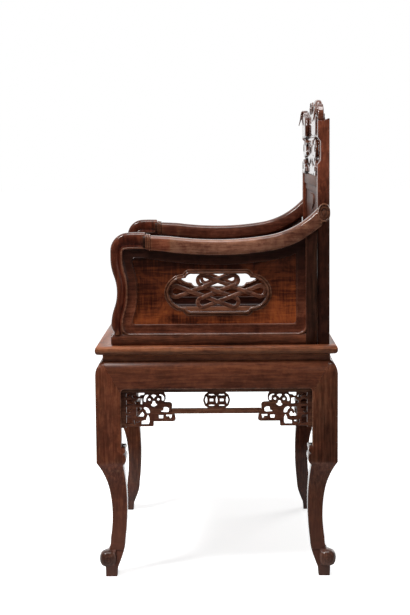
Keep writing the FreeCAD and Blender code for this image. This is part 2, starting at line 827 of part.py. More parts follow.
def arm_pieces(stile):
    """Pieces of the left arm by name."""
    opening = arm_opening()
    carved = knot()
    panel = arm_panel(opening).cut(carved)
    groove = slab(straightened(grown(opening, arm_tongue + gap)), arm_tongue_thick, arm_centre)
    post = slab(post_face(), arm_post_width, arm_centre)
    post = fuse([post, tenon_down(arm_centre + gap, -post_foot + post_width / 2, post_tenon, post_tenon_width,
                                  post_tenon)])
    ends = [box(0, half_width, -half_depth, -head_place, seat_height, crest_height),
            box(0, half_width, stile_middle, half_depth, seat_height, crest_height)]
    whole = fuse([arm_rail_solid().cut(ends), boss()]).cut(stile)
    rear_y = (rear_post_near + rear_post_far) / 2
    rear = box(arm_centre - arm_post_width / 2, arm_centre + arm_post_width / 2, rear_post_near, rear_post_far,
               seat_height, arm_low + 2 * arm_depth).cut(slab(rail_face(3 * arm_depth), chair_width, arm_centre))
    top = rear.BoundBox.ZMax
    rear = fuse([rear, tenon_down(arm_centre, rear_y, post_tenon, post_tenon_width, post_tenon),
                 box(arm_centre - post_tenon_thick / 2, arm_centre + post_tenon_thick / 2, rear_y - post_tenon / 2,
                     rear_y + post_tenon / 2, top - arm_depth / 2, top + post_tenon / 2)])
    bottom = box(arm_centre - arm_post_width / 2, arm_centre + arm_post_width / 2, -post_foot + post_width / 2,
                 rear_post_near, seat_height, seat_height + arm_bottom_height).cut(post)
    bottom = max(bottom.Solids, key=lambda solid: solid.Volume)
    margin = arm_bottom_height / 4
    bottom = fuse([bottom, box(arm_centre - post_tenon_thick / 2, arm_centre + post_tenon_thick / 2,
                               -post_foot + post_width - post_tenon, rear_post_near + post_tenon,
                               seat_height + margin, seat_height + arm_bottom_height - 2 * margin)])
    peg_y = -head_place
    peg_z = arm_steps(0.0)[0][0][1]
    peg = box(arm_centre - scarf_tenon_thick / 2, arm_centre + scarf_tenon_thick / 2, peg_y - gap,
              peg_y + scarf_tenon, peg_z - scarf_tenon_thick / 2, peg_z + scarf_tenon_thick / 2)
    post = fuse([post, peg])
    front_cut = box(0, half_width, -half_depth, -scarf_place, seat_height, crest_height)
    scarf_z = arm_low + (scarf_place + arm_low_place) ** 2 / (2 * front_radius)
    scarf = box(arm_centre - scarf_tenon_thick / 2, arm_centre + scarf_tenon_thick / 2, -scarf_place,
                -scarf_place + scarf_tenon, scarf_z - scarf_tenon_thick / 2, scarf_z + scarf_tenon_thick / 2)
    front = whole.common(front_cut).fuse(scarf)
    main = whole.cut(front_cut)
    bottom = bottom.cut(groove)
    pieces = {
        "arm_post": post.cut(bottom).cut(groove), "arm_bottom_rail": bottom, "arm_panel": panel,
        "arm_rear_post": rear.cut(bottom).cut(groove),
        "arm_rail_front": front.cut(post).cut(groove), "arm_rail": main.cut(scarf).cut(rear).cut(groove),
        "arm_knot": carved}
    return pieces


# Knot

def knot_values():
    angle = math.radians(strand_angle)
    rise = strand_spacing / math.cos(angle)
    cross = rise / math.tan(angle)
    reach = (knot_half_width - cross) / (1 + math.sin(angle))
    return angle, rise, cross, reach


def knot_half_height():
    """Half height over the small loops."""
    angle, rise = knot_values()[:2]
    return rise / 2 + math.tan(angle) * loop_place + (strand_spacing + strand_width) / 2


def band(start, end, width):
    """Flat strip between two points, as a face in the arm's middle plane."""
    along = V(0, end[0] - start[0], end[1] - start[1])
    across = V(0, -along.z, along.y).normalize() * (width / 2)
    a, b = [at_x(arm_centre)(*point) for point in (start, end)]
    return Part.Face(Part.makePolygon([a + across, b + across, b - across, a - across, a + across]))


def knot_point(along, up):
    return (cartouche_centre + along, knot_height + up)


def knot():
    """Endless knot of one strand: six straight runs, four small loops and two large end loops."""
    angle, rise, cross, reach = knot_values()
    slope = math.tan(angle)
    radius = strand_spacing / 2
    big = reach * math.sin(angle)
    faces = []
    place = at_x(arm_centre)
    loop_up = rise / 2 + slope * loop_place
    shift = (-math.sin(angle) * radius, math.cos(angle) * radius)
    far = cross + reach * math.cos(angle) ** 2
    for way in (1, -1):
        outer = (loop_place + shift[0], loop_up + shift[1])
        inner = (loop_place - shift[0], loop_up - shift[1])
        end = (-far, -(far - cross) * slope)
        for flip in (1, -1):
            faces.append(band(knot_point(flip * way * end[0], flip * end[1]),
                              knot_point(flip * way * outer[0], flip * outer[1]), strand_width))
        faces.append(band(knot_point(-way * inner[0], -inner[1]), knot_point(way * inner[0], inner[1]),
                          strand_width))
        for up in (1, -1):
            centre = knot_point(way * loop_place, up * loop_up)
            lead = up * way * angle
            side = 0.0 if way > 0 else math.pi
            turn = math.degrees(side + lead)
            faces.append(round_band(place, centre, radius, strand_width, turn - quarter_turn, turn + quarter_turn,
                                    small_loop_steps))
        centre = knot_point(way * (cross + reach), 0.0)
        turn = 0.0 if way > 0 else half_turn
        sweep = quarter_turn + strand_angle
        faces.append(round_band(place, centre, big, strand_width, turn - sweep, turn + sweep, large_loop_steps))
    strands = fuse([slab(face, strand_thick, arm_centre) for face in faces])
    strands = strands.cut(knot_pockets(angle, rise, slope))
    tip = knot_half_width + strand_width / 2 + knot_peg
    pegs = [slab(band(knot_point(way * knot_half_width, 0.0), knot_point(way * tip, 0.0), knot_peg),
                 knot_peg_thick, arm_centre) for way in (-1, 1)]
    return fuse([strands] + pegs)


def knot_pockets(angle, rise, slope):
    """Shallow pockets where the strand dives under itself, on the two faces in turn."""
    length = strand_width / math.sin(2 * angle) + weave_clear
    pockets = []
    for i in (-1, 0, 1):
        for j in (-1, 0, 1):
            y = (i - j) * rise / (2 * slope)
            z = (i + j) * rise / 2
            over_rising = (i + j) % 2 == 0
            for face_side in (1, -1):
                lean = -1 if over_rising == (face_side > 0) else 1
                across = V(0, math.cos(angle), lean * math.sin(angle))
                other = V(0, math.cos(angle), -lean * math.sin(angle))
                ends = [knot_point(y + way * length * across.y, z + way * length * across.z) for way in (-1, 1)]
                keep = [knot_point(y + way * 2 * length * other.y, z + way * 2 * length * other.z)
                        for way in (-1, 1)]
                pocket = slab(band(ends[0], ends[1], strand_width), weave_depth,
                              arm_centre + face_side * (strand_thick - weave_depth) / 2)
                over = slab(band(keep[0], keep[1], strand_width), strand_thick, arm_centre)
                pockets += pocket.cut(over).Solids
    return pockets


# Back

def stile():
    """Left stile with a hollow in its front edge, tenons at both ends."""
    x0 = stile_outer - stile_width
    front = stile_front
    deep = stile_front + stile_hollow
    steps = (((stile_rear, seat_height),), ((stile_rear, stile_top),), ((front, stile_top),),
             ((front, hollow_high),), ((deep, hollow_high - hollow_slope),), ((deep, hollow_low + hollow_slope),),
             ((front, hollow_low),))
    body = outline(at_x(x0), (front, seat_height), steps).extrude(V(stile_width, 0, 0))
    foot_y = half_depth - stile_tenon_inset - stile_tenon_side / 2
    foot = tenon_down(stile_tenon_place, foot_y, stile_tenon_side, stile_tenon_side, stile_tenon)
    middle_x = stile_outer - stile_width / 2
    half = crest_tenon_side / 2
    head = box(middle_x - half, middle_x + half, stile_middle - half / 2, stile_middle + half / 2, stile_top,
               stile_top + crest_tenon)
    return fuse([body, foot, head])


def back_rail(low, height):
    """Rail between the stiles with a tenon at each end."""
    half = stile_outer - stile_width
    y = stile_front + back_inset
    mid = y + back_rail_thick / 2
    body = box(-half, half, y, y + back_rail_thick, low, low + height)
    tenon = box(-half - back_tenon, half + back_tenon, mid - back_tenon_thick / 2, mid + back_tenon_thick / 2,
                low + back_tenon_margin, low + height - back_tenon_margin)
    return fuse([body, tenon])


def back_panel():
    """Wide back panel with tongues, a sunk field and a small cloud ornament near its top."""
    half = stile_outer - stile_width
    low = seat_height + back_rail_height
    high = mid_rail_top - mid_rail_height
    mid = stile_front + back_inset + back_rail_thick / 2
    thick = back_panel_thick / 2
    body = box(-half, half, mid - thick, mid + thick, low, high)
    tongue = box(-half - back_tongue, half + back_tongue, mid - back_tongue_thick / 2, mid + back_tongue_thick / 2,
                 low - back_tongue, high + back_tongue)
    b = back_field_border
    field = box(-half + b, half - b, mid - thick - overrun, mid - thick + back_field_sink, low + b, high - b)
    cloud = ornament(mid - thick + back_field_sink, high - b - ornament_drop)
    return fuse([body, tongue]).cut(field).fuse(cloud).removeSplitter()


def ornament(face, top):
    """Cloud head in low relief: a middle lobe between two curls."""
    w = ornament_width / 2
    h = ornament_height

    def place(x, drop):
        return V(x * w, face + gap, top - drop * h)

    steps = (((-0.98, 0.45), (-0.78, 0.70)), ((-0.55, 0.80), (-0.42, 0.55)), ((-0.25, 0.85), (0.0, 1.0)),
             ((0.25, 0.85), (0.42, 0.55)), ((0.55, 0.80), (0.78, 0.70)), ((0.98, 0.45), (0.80, 0.12)),
             ((0.55, 0.02), (0.35, 0.16)), ((0.18, 0.06), (0.0, 0.0)), ((-0.18, 0.06), (-0.35, 0.16)),
             ((-0.55, 0.02), (-0.80, 0.12)))
    return outline(place, (-0.80, 0.12), steps).extrude(V(0, -ornament_proud - gap, 0))


def back_openwork():
    """Openwork panel of paired C scrolls on both sides of a double ring."""
    half = stile_outer - stile_width - openwork_frame
    low = mid_rail_top + openwork_frame
    high = hollow_high - openwork_frame
    y = stile_front + back_inset + (back_rail_thick - openwork_thick) / 2
    place = at_y(y)
    side = half + openwork_frame
    frame = box(-side, side, y, y + openwork_thick, mid_rail_top, hollow_high)
    frame = frame.cut(box(-half, half, y, y + openwork_thick, low, high))
    middle = (low + high) / 2
    inner = (high - low) / 2
    bar = openwork_bar
    faces = [round_band(place, (0.0, middle), inner, bar, 0.0, 2 * half_turn, ring_steps),
             round_band(place, (0.0, middle), inner / 2, bar, 0.0, 2 * half_turn, ring_steps)]
    bars = []
    pitch = (half - inner) / scrolls_a_side
    for way in (-1, 1):
        bars.append(box(way * inner / 2, way * (half + gap), y, y + openwork_thick, middle - bar / 2,
                        middle + bar / 2))
        for k in range(scrolls_a_side):
            for up in (-1, 1):
                centre = (way * (inner + pitch * (k + 0.5)), middle + up * inner / 2)
                turn = quarter_turn * (1 - way * up * (1 if k % 2 else -1))
                faces.append(round_band(place, centre, inner / 2, bar * scroll_bar_share, turn - scroll_turn,
                                        turn + scroll_turn, scroll_steps))
    return fuse([frame] + bars + [face.extrude(V(0, openwork_thick, 0)) for face in faces])


def crest(stiles):
    """Crest board with a stepped cloud outline and round scroll eyes, seated on the stiles."""
    end = stile_outer
    inner = stile_outer - stile_width
    base = stile_top
    rise = crest_height - base
    y = stile_front + back_inset - (crest_thick - back_rail_thick) / 2
    steps = [((inner, hollow_high),), ((inner, base),), ((end, base),)]
    right = [tuple((u * end, base + v * rise) for u, v in step) for step in crest_shares]
    steps += right
    left = []
    starts = [(end, base)] + [step[-1] for step in right[:-1]]
    for step, start in zip(right[::-1], starts[::-1]):
        left.append(((-step[0][0], step[0][1]), (-start[0], start[1])))
    brow = right[-1][-1]
    steps += [((0.0, crest_height), (-brow[0], brow[1]))] + left
    steps += [((-inner, base),), ((-inner, hollow_high),)]
    board = outline(at_y(y), (-inner, hollow_high), steps).extrude(V(0, crest_thick, 0))
    eyes = []
    for u, v, size in crest_eye_shares:
        for way in (-1, 1):
            width = size * rise * (1 - crest_eye_hole_share)
            ring = round_band(at_y(y - crest_eye_proud), (way * u * end, base + v * rise), size * rise - width / 2,
                              width, 0.0, 2 * half_turn, crest_eye_sides)
            eyes.append(ring.extrude(V(0, crest_eye_proud, 0)))
    half = crest_roll_share * end
    centre = (y + crest_thick + crest_roll_back, crest_height - crest_roll_radius)
    turns = [half_turn * 2 * k / crest_eye_sides + quarter_turn for k in range(crest_eye_sides)]
    roll = polygon(at_x(-half), [(centre[0] + crest_roll_radius * math.cos(math.radians(a)),
                                  centre[1] + crest_roll_radius * math.sin(math.radians(a))) for a in turns])
    return fuse([board, roll.extrude(V(2 * half, 0, 0))] + eyes).cut(stiles)


# Whole chair

def under_seat():
    """Waist, aprons, frets and legs by name."""
    pieces = {}
    for side, turn in SIDES:
        reach, run = spans(side)
        made = {"waist": waist(reach, run), "apron": apron(reach, run), "fret_strip": fret_strip(reach, run),
                "fret_spandrel_a": spandrel(reach, run), "fret_spandrel_b": mirror_y(spandrel(reach, run)),
                "fret_rail": fret_rail(reach, run), "coin_rosette": coin_rosette(reach, run)}
        for name, shape in made.items():
            pieces[name + "_" + side] = around(shape, turn)
    leg = leg_blank()
    corners = {"leg_front_left": leg, "leg_front_right": mirror_x(leg), "leg_rear_left": mirror_y(leg),
               "leg_rear_right": mirror_x(mirror_y(leg))}
    for name, shape in corners.items():
        near = [piece for piece in pieces.values() if piece.BoundBox.intersect(shape.BoundBox)]
        pieces[name] = shape.cut(near)
    return pieces


def whole_chair():
    pieces = under_seat()
    rails = seat_rails()
    left_stile = stile()
    backs = {"stile_left": left_stile, "stile_right": mirror_x(left_stile),
             "back_bottom_rail": back_rail(seat_height, back_rail_height),
             "back_mid_rail": back_rail(mid_rail_top - mid_rail_height, mid_rail_height),
             "back_panel": back_panel(), "back_openwork": back_openwork()}
    backs["crest"] = crest([backs["stile_left"], backs["stile_right"]])
    for rail in ("back_bottom_rail", "back_mid_rail"):
        backs[rail] = backs[rail].cut(backs["back_panel"])
    for side in ("stile_left", "stile_right"):
        backs[side] = backs[side].cut([backs["back_bottom_rail"], backs["back_mid_rail"], backs["back_panel"]])
    arms = {}
    for name, shape in arm_pieces(left_stile).items():
        arms[name + "_left"] = shape
        arms[name + "_right"] = mirror_x(shape)
    tenoned = [shape for name, shape in pieces.items() if name.startswith("leg")]
    tenoned += [arms[name + "_" + side] for name in ("arm_post", "arm_rear_post") for side in ("left", "right")]
    tenoned += [backs["stile_left"], backs["stile_right"]]
    for side, rail in rails.items():
        near = [shape for shape in tenoned if shape.BoundBox.intersect(rail.BoundBox)]
        pieces["seat_rail_" + side] = rail.cut(near)
    pieces["seat_panel"] = seat_panel()
    pieces["seat_batten"] = seat_batten()
    pieces.update(arms)
    pieces.update(backs)
    return pieces


def main():
    os.makedirs("parts", exist_ok=True)
    pieces = whole_chair()
    for name, shape in sorted(pieces.items()):
        solids = shape.Solids
        solid = solids[0] if len(solids) == 1 else Part.makeCompound(solids)
        print(name, "solids", len(solids), "valid", solid.isValid(), "volume cm3", round(solid.Volume / 1000, 1))
        solid.exportStep(os.path.join("parts", name + ".step"))
    print(len(pieces), "pieces")


main()
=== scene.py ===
"""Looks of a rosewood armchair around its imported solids: woods, lights, camera and finer carving."""
import math
import bpy
import bmesh
from mathutils import Euler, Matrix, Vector


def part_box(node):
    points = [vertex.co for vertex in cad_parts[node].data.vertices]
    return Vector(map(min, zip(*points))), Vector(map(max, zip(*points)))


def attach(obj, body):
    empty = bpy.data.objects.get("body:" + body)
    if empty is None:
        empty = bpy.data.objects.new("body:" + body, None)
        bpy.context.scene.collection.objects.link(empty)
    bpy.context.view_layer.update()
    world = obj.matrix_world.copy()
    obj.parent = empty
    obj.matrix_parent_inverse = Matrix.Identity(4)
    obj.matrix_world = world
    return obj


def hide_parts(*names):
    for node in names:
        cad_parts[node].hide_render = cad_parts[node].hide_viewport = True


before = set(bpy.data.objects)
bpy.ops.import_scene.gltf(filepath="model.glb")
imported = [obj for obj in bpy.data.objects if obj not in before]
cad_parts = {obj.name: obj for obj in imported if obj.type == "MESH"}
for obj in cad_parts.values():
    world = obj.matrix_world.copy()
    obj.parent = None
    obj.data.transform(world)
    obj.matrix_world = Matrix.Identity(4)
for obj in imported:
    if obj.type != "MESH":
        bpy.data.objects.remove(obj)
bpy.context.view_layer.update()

scene = bpy.context.scene

# Camera, worked out from the photograph
FOCAL_PIXELS = 1489.15
FRAME_HEIGHT = 615
SENSOR = 36.0
CAMERA_PLACE = (3.36522, 0.01434, 0.89102)
PITCH, YAW, ROLL = 0.10489, 0.01208, 0.00807


def make_camera():
    """The photograph's camera: its lens, place and turn."""
    data = bpy.data.cameras.new("camera")
    data.sensor_width = SENSOR
    data.lens = FOCAL_PIXELS / FRAME_HEIGHT * SENSOR
    data.clip_start, data.clip_end = 0.1, 60.0
    camera = bpy.data.objects.new("camera", data)
    scene.collection.objects.link(camera)
    camera.location = CAMERA_PLACE
    turn = Euler((math.pi / 2 - PITCH, 0.0, math.pi / 2 + YAW), "XYZ").to_matrix()
    roll = Euler((0.0, 0.0, -ROLL), "XYZ").to_matrix()
    camera.rotation_euler = (turn @ roll).to_euler()
    scene.camera = camera


# Helpers for shader nodes
def add(tree, kind, values=(), **settings):
    """A node with input values by name or number, where a value may be another node's output."""
    node = tree.nodes.new(kind)
    for key, value in settings.items():
        setattr(node, key, value)
    for key, value in dict(values).items():
        if isinstance(value, bpy.types.NodeSocket):
            tree.links.new(value, node.inputs[key])
        else:
            node.inputs[key].default_value = value
    return node


def ramp(tree, factor, stops):
    """Colour by a factor, from stops of (place, colour or grey)."""
    node = add(tree, "ShaderNodeValToRGB", {"Fac": factor})
    line = node.color_ramp
    while len(line.elements) < len(stops):
        line.elements.new(0.5)
    for element, (place, value) in zip(line.elements, stops):
        element.position = place
        element.color = (value, value, value, 1.0) if isinstance(value, float) else (*value, 1.0)
    return node.outputs["Color"]


def maths(tree, operation, a, b=0.0):
    """Result of one operation on two values."""
    return add(tree, "ShaderNodeMath", {0: a, 1: b}, operation=operation).outputs[0]


def total(tree, *terms):
    """Sum of values, each times its share."""
    parts = [maths(tree, "MULTIPLY", value, share) for value, share in terms]
    result = parts[0]
    for part in parts[1:]:
        result = maths(tree, "ADD", result, part)
    return result


def span(tree, value, start, end):
    """A value carried from one (from, to) pair to another, held at both ends."""
    ends = {0: value, 1: start[0], 2: end[0], 3: start[1], 4: end[1]}
    return add(tree, "ShaderNodeMapRange", ends).outputs[0]


def mix(tree, factor, a, b):
    """Blend of two colours by a factor."""
    node = add(tree, "ShaderNodeMix", data_type="RGBA")
    for place, value in ((0, factor), (6, a), (7, b)):
        if isinstance(value, bpy.types.NodeSocket):
            tree.links.new(value, node.inputs[place])
        elif place == 0:
            node.inputs[place].default_value = value
        else:
            node.inputs[place].default_value = (*value, 1.0)
    return node.outputs[2]


def noise(tree, place, scale, detail, rough=0.5, bend=0.0):
    """Factor of a noise texture."""
    values = {"Vector": place, "Scale": scale, "Detail": detail, "Roughness": rough, "Distortion": bend}
    return add(tree, "ShaderNodeTexNoise", values).outputs["Fac"]


def squeezed(tree, place, axis, share):
    """Places scaled along one axis, so that a texture is drawn out that way."""
    scale = [share if letter == axis else 1.0 for letter in "xyz"]
    return add(tree, "ShaderNodeMapping", {"Vector": place, "Scale": scale}).outputs["Vector"]


woods = {}


def wood(kind, axis):
    """Waxed rosewood of one kind with its grain along an axis, lighter worn edges that are partly painted
    highlight, and for some kinds painted shade by height.
    """
    key = kind + "_" + axis
    if key in woods:
        return woods[key]
    dark, middle, light, patch, wear_and_highlight_share, rough = WOODS[kind]
    material = bpy.data.materials.new("rosewood_" + key)
    material.use_nodes = True
    tree = material.node_tree
    shader = tree.nodes["Principled BSDF"]
    place = add(tree, "ShaderNodeTexCoord").outputs["Object"]
    along = squeezed(tree, place, axis, 0.22 if kind == "stile" else 0.07)
    broad = noise(tree, along, 26.0, 5.0, 0.6, 1.2)
    fibre = noise(tree, along, 210.0, 6.0, 0.7)
    pore = noise(tree, along, 620.0, 2.0)
    if kind.startswith("panel"):
        blotch = noise(tree, place, 16.0, 4.0, 0.62, 0.8)
        mottle = noise(tree, squeezed(tree, place, "z", 0.10), 190.0, 5.0, 0.7)
    else:
        blotch = noise(tree, place, 7.0, 4.0, 0.62, 0.8)
        mottle = noise(tree, place, 55.0, 6.0, 0.72, 0.4)
    grain = total(tree, (broad, 0.30), (fibre, 0.38), (mottle, 0.32))
    colour = ramp(tree, grain, ((0.42, dark), (0.50, middle), (0.58, light)))
    spots = maths(tree, "MULTIPLY", ramp(tree, blotch, ((0.47, 0.0), (0.68, 1.0))), patch)
    colour = mix(tree, spots, colour, tuple(min(1.0, c * 1.9) for c in light))
    shade = maths(tree, "MULTIPLY", ramp(tree, blotch, ((0.30, 1.0), (0.46, 0.0))), 0.45)
    colour = mix(tree, shade, colour, tuple(c * 0.55 for c in dark))
    pits = ramp(tree, pore, ((0.60, 0.0), (0.70, 1.0)))
    colour = mix(tree, maths(tree, "MULTIPLY", pits, 0.55), colour, tuple(c * 0.35 for c in dark))
    # Lighter colour on convex edges: edge wear, and painted highlight where the share is high
    pointed = add(tree, "ShaderNodeNewGeometry").outputs["Pointiness"]
    edge = ramp(tree, pointed, ((0.515, 0.0), (0.60, 1.0)))
    ragged = ramp(tree, fibre, ((0.35, 0.2), (0.65, 1.0)))
    rub_and_highlight = maths(tree, "MULTIPLY", maths(tree, "MULTIPLY", edge, ragged), wear_and_highlight_share)
    colour = mix(tree, rub_and_highlight, colour, WEAR_AND_HIGHLIGHT)
    # Painted shade by height, or on the legs a greyer tone towards the feet
    if kind in SHADES:
        start, end, tint = SHADES[kind]
        height = add(tree, "ShaderNodeSeparateXYZ", {0: place}).outputs[2]
        colour = mix(tree, span(tree, height, start, end), colour, tint)
    tree.links.new(colour, shader.inputs["Base Color"])
    wax = maths(tree, "ADD", total(tree, (blotch, 0.22), (fibre, 0.14)), rough)
    tree.links.new(wax, shader.inputs["Roughness"])
    relief = {"Strength": 0.05 if kind == "back" else 0.22, "Distance": 0.0006,
              "Height": total(tree, (fibre, 0.6), (pits, -0.7))}
    tree.links.new(add(tree, "ShaderNodeBump", relief).outputs["Normal"], shader.inputs["Normal"])
    shader.inputs["Specular IOR Level"].default_value = 0.06
    for name, value in zip(("Coat Weight", "Coat Roughness", "Coat IOR"), GLOSS.get(kind, PLAIN_GLOSS)):
        shader.inputs[name].default_value = value
    woods[key] = material
    return material


# Woods as three colours of the grain, a share of bright patches, the share of lighter colour on convex edges
# (edge wear, and painted highlight on the beads and the knot's strands) and a roughness
WEAR_AND_HIGHLIGHT = (0.30, 0.145, 0.075)
WOODS = {
    "leg": ((0.052, 0.0118, 0.0053), (0.098, 0.0232, 0.0106), (0.165, 0.046, 0.0200), 0.12, 0.30, 0.20),
    "apron": ((0.046, 0.0105, 0.0045), (0.086, 0.0205, 0.0090), (0.145, 0.040, 0.0165), 0.10, 0.30, 0.20),
    # Far legs: the leg's wood darkened as painted shade
    "leg_far_shaded": ((0.032, 0.0074, 0.0034), (0.062, 0.0146, 0.0068), (0.110, 0.030, 0.0135), 0.10, 0.20, 0.24),
    "leg_rear": ((0.028, 0.0056, 0.0024), (0.054, 0.0106, 0.0046), (0.095, 0.022, 0.0092), 0.10, 0.30, 0.20),
    "seat": ((0.058, 0.0140, 0.0058), (0.155, 0.0430, 0.0175), (0.28, 0.094, 0.040), 0.20, 0.45, 0.20),
    "arm": ((0.029, 0.0054, 0.0026), (0.058, 0.0106, 0.0052), (0.104, 0.023, 0.0105), 0.12, 0.36, 0.20),
    # Near-black wood, painted shade where it is used: the far arm's inner face, the neck behind the rail's
    # collars, and the rear post under the arm together with a darker wood
    "dark": ((0.010, 0.0030, 0.0022), (0.019, 0.0052, 0.0034), (0.040, 0.0115, 0.0068), 0.12, 0.12, 0.18),
    "rail": ((0.048, 0.0150, 0.0084), (0.112, 0.0395, 0.0225), (0.21, 0.092, 0.055), 0.34, 0.60, 0.27),
    "rail_far": ((0.038, 0.0098, 0.0052), (0.070, 0.0190, 0.0104), (0.118, 0.038, 0.022), 0.12, 0.35, 0.24),
    "panel": ((0.026, 0.0052, 0.0022), (0.078, 0.0160, 0.0056), (0.190, 0.044, 0.0110), 0.50, 0.30, 0.18),
    # Far arm's panel: the panel's wood darkened as painted shade
    "panel_far_shaded": ((0.014, 0.0031, 0.0014), (0.036, 0.0078, 0.0029), (0.080, 0.019, 0.0056), 0.42, 0.20, 0.22),
    "plain": ((0.032, 0.0090, 0.0050), (0.066, 0.0180, 0.0090), (0.115, 0.034, 0.016), 0.12, 0.30, 0.30),
    "back": ((0.030, 0.0080, 0.0045), (0.062, 0.0160, 0.0085), (0.110, 0.032, 0.016), 0.10, 0.30, 0.14),
    "foot": ((0.020, 0.0075, 0.0048), (0.050, 0.0180, 0.0112), (0.100, 0.042, 0.027), 0.20, 0.60, 0.26),
    # Beads and rolled edges: a lighter wood, partly painted highlight along their rounds
    "bead": ((0.048, 0.0145, 0.0078), (0.098, 0.0330, 0.0190), (0.17, 0.067, 0.041), 0.15, 0.55, 0.18),
    "fret": ((0.038, 0.0112, 0.0064), (0.074, 0.0240, 0.0136), (0.128, 0.050, 0.028), 0.15, 0.40, 0.22),
    "knot": ((0.040, 0.0118, 0.0070), (0.080, 0.0255, 0.0150), (0.150, 0.058, 0.035), 0.20, 0.70, 0.16),
    "lip": ((0.031, 0.0090, 0.0052), (0.062, 0.0190, 0.0110), (0.118, 0.044, 0.026), 0.20, 0.62, 0.16),
    "dark_arm": ((0.040, 0.0105, 0.0053), (0.080, 0.0205, 0.0098), (0.135, 0.040, 0.020), 0.15, 0.40, 0.20),
    "base": ((0.034, 0.0085, 0.0040), (0.070, 0.0172, 0.0078), (0.120, 0.034, 0.015), 0.12, 0.08, 0.20),
    "rail_front": ((0.068, 0.0165, 0.0080), (0.130, 0.0330, 0.0160), (0.20, 0.062, 0.032), 0.15, 0.45, 0.20),
    "stile": ((0.036, 0.0080, 0.0042), (0.078, 0.0172, 0.0088), (0.150, 0.040, 0.019), 0.30, 0.12, 0.20),
}

# Tints by height as (height, share) at both ends: painted shade under the arm rail on the panel and its
# hollow, painted shade together with a darker wood on the stile below the arm, painted shade under the apron
# on the fret and on the lower half of the seat's edge, and a greyer tone towards the feet of the legs; and
# coats as weight, roughness and index
SHADE = (0.009, 0.0038, 0.0030)
SHADES = {"stile": ((0.700, 0.74), (0.765, 0.0), SHADE), "dark_arm": ((0.560, 0.0), (0.680, 0.85), SHADE),
          "panel": ((0.550, 0.0), (0.670, 0.70), SHADE), "fret": ((0.345, 0.0), (0.390, 0.50), SHADE),
          "seat": ((0.4765, 0.60), (0.4840, 0.0), SHADE),
          "leg": ((0.050, 0.85), (0.240, 0.0), (0.100, 0.041, 0.029)),
          "leg_rear": ((0.050, 0.85), (0.240, 0.0), (0.066, 0.029, 0.021))}
PLAIN_GLOSS = (0.80, 0.13, 1.35)
GLOSS = {"back": (1.0, 0.06, 1.50), "plain": (0.15, 0.25, 1.30), "knot": (0.75, 0.10, 1.45),
         "lip": (0.75, 0.10, 1.45), "fret": (0.3, 0.30, 1.30), "bead": (1.0, 0.10, 1.50),
         "foot": (0.8, 0.16, 1.42), "dark": (0.35, 0.25, 1.30), "seat": (0.6, 0.30, 1.35),
         "apron": (0.6, 0.30, 1.30)}

# Angles above which an edge of a solid or of a piece stays sharp, or is softened
NODE_ANGLE, PIECE_ANGLE, BEVEL_ANGLE = (math.radians(degrees) for degrees in (35, 42, 40))
# Kinds of wood by the start of a solid's name, the longer starts first; the far legs and the far arm's panel
# take darker copies as painted shade, and the rear post under the arm takes the near-black wood, painted
# shade together with a darker wood
KINDS = (("leg_front_right", "leg_far_shaded"), ("leg_rear_right", "leg_far_shaded"), ("leg_rear", "leg_rear"),
         ("leg", "leg"), ("waist", "apron"), ("apron", "apron"), ("seat", "seat"), ("fret", "fret"),
         ("coin", "fret"), ("arm_panel_right", "panel_far_shaded"), ("arm_panel", "panel"), ("arm_knot", "knot"),
         ("arm_rail", "rail"), ("arm_rear_post", "dark"), ("arm", "arm"), ("back_openwork", "back"),
         ("back", "plain"), ("stile", "stile"), ("crest", "back"))


def kind_of(node):
    """Kind of wood of a solid, by the first name that its own name starts with."""
    return next(kind for start, kind in KINDS if node.startswith(start))


def axis_of(node):
    """Way of the grain in a solid: upright in the back's panel, else along the longest side of its box."""
    low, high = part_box(node)
    size = high - low
    return "z" if node == "back_panel" else "xyz"[max(range(3), key=lambda k: size[k])]


def dress_nodes():
    """Soft edges and a wood for each solid of the frame."""
    for name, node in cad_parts.items():
        weld = node.modifiers.new("weld", "WELD")
        weld.merge_threshold = 0.00002
        bevel = node.modifiers.new("soft_edges", "BEVEL")
        bevel.width = 0.0003 if name.startswith(("leg", "apron", "waist")) else 0.0008
        bevel.segments = 2
        bevel.limit_method, bevel.angle_limit = "ANGLE", NODE_ANGLE
        bevel.harden_normals = False
        node.data.materials.clear()
        node.data.materials.append(wood(kind_of(name), axis_of(name)))
        node.data.shade_smooth()
        node.data.set_sharp_from_angle(angle=NODE_ANGLE)


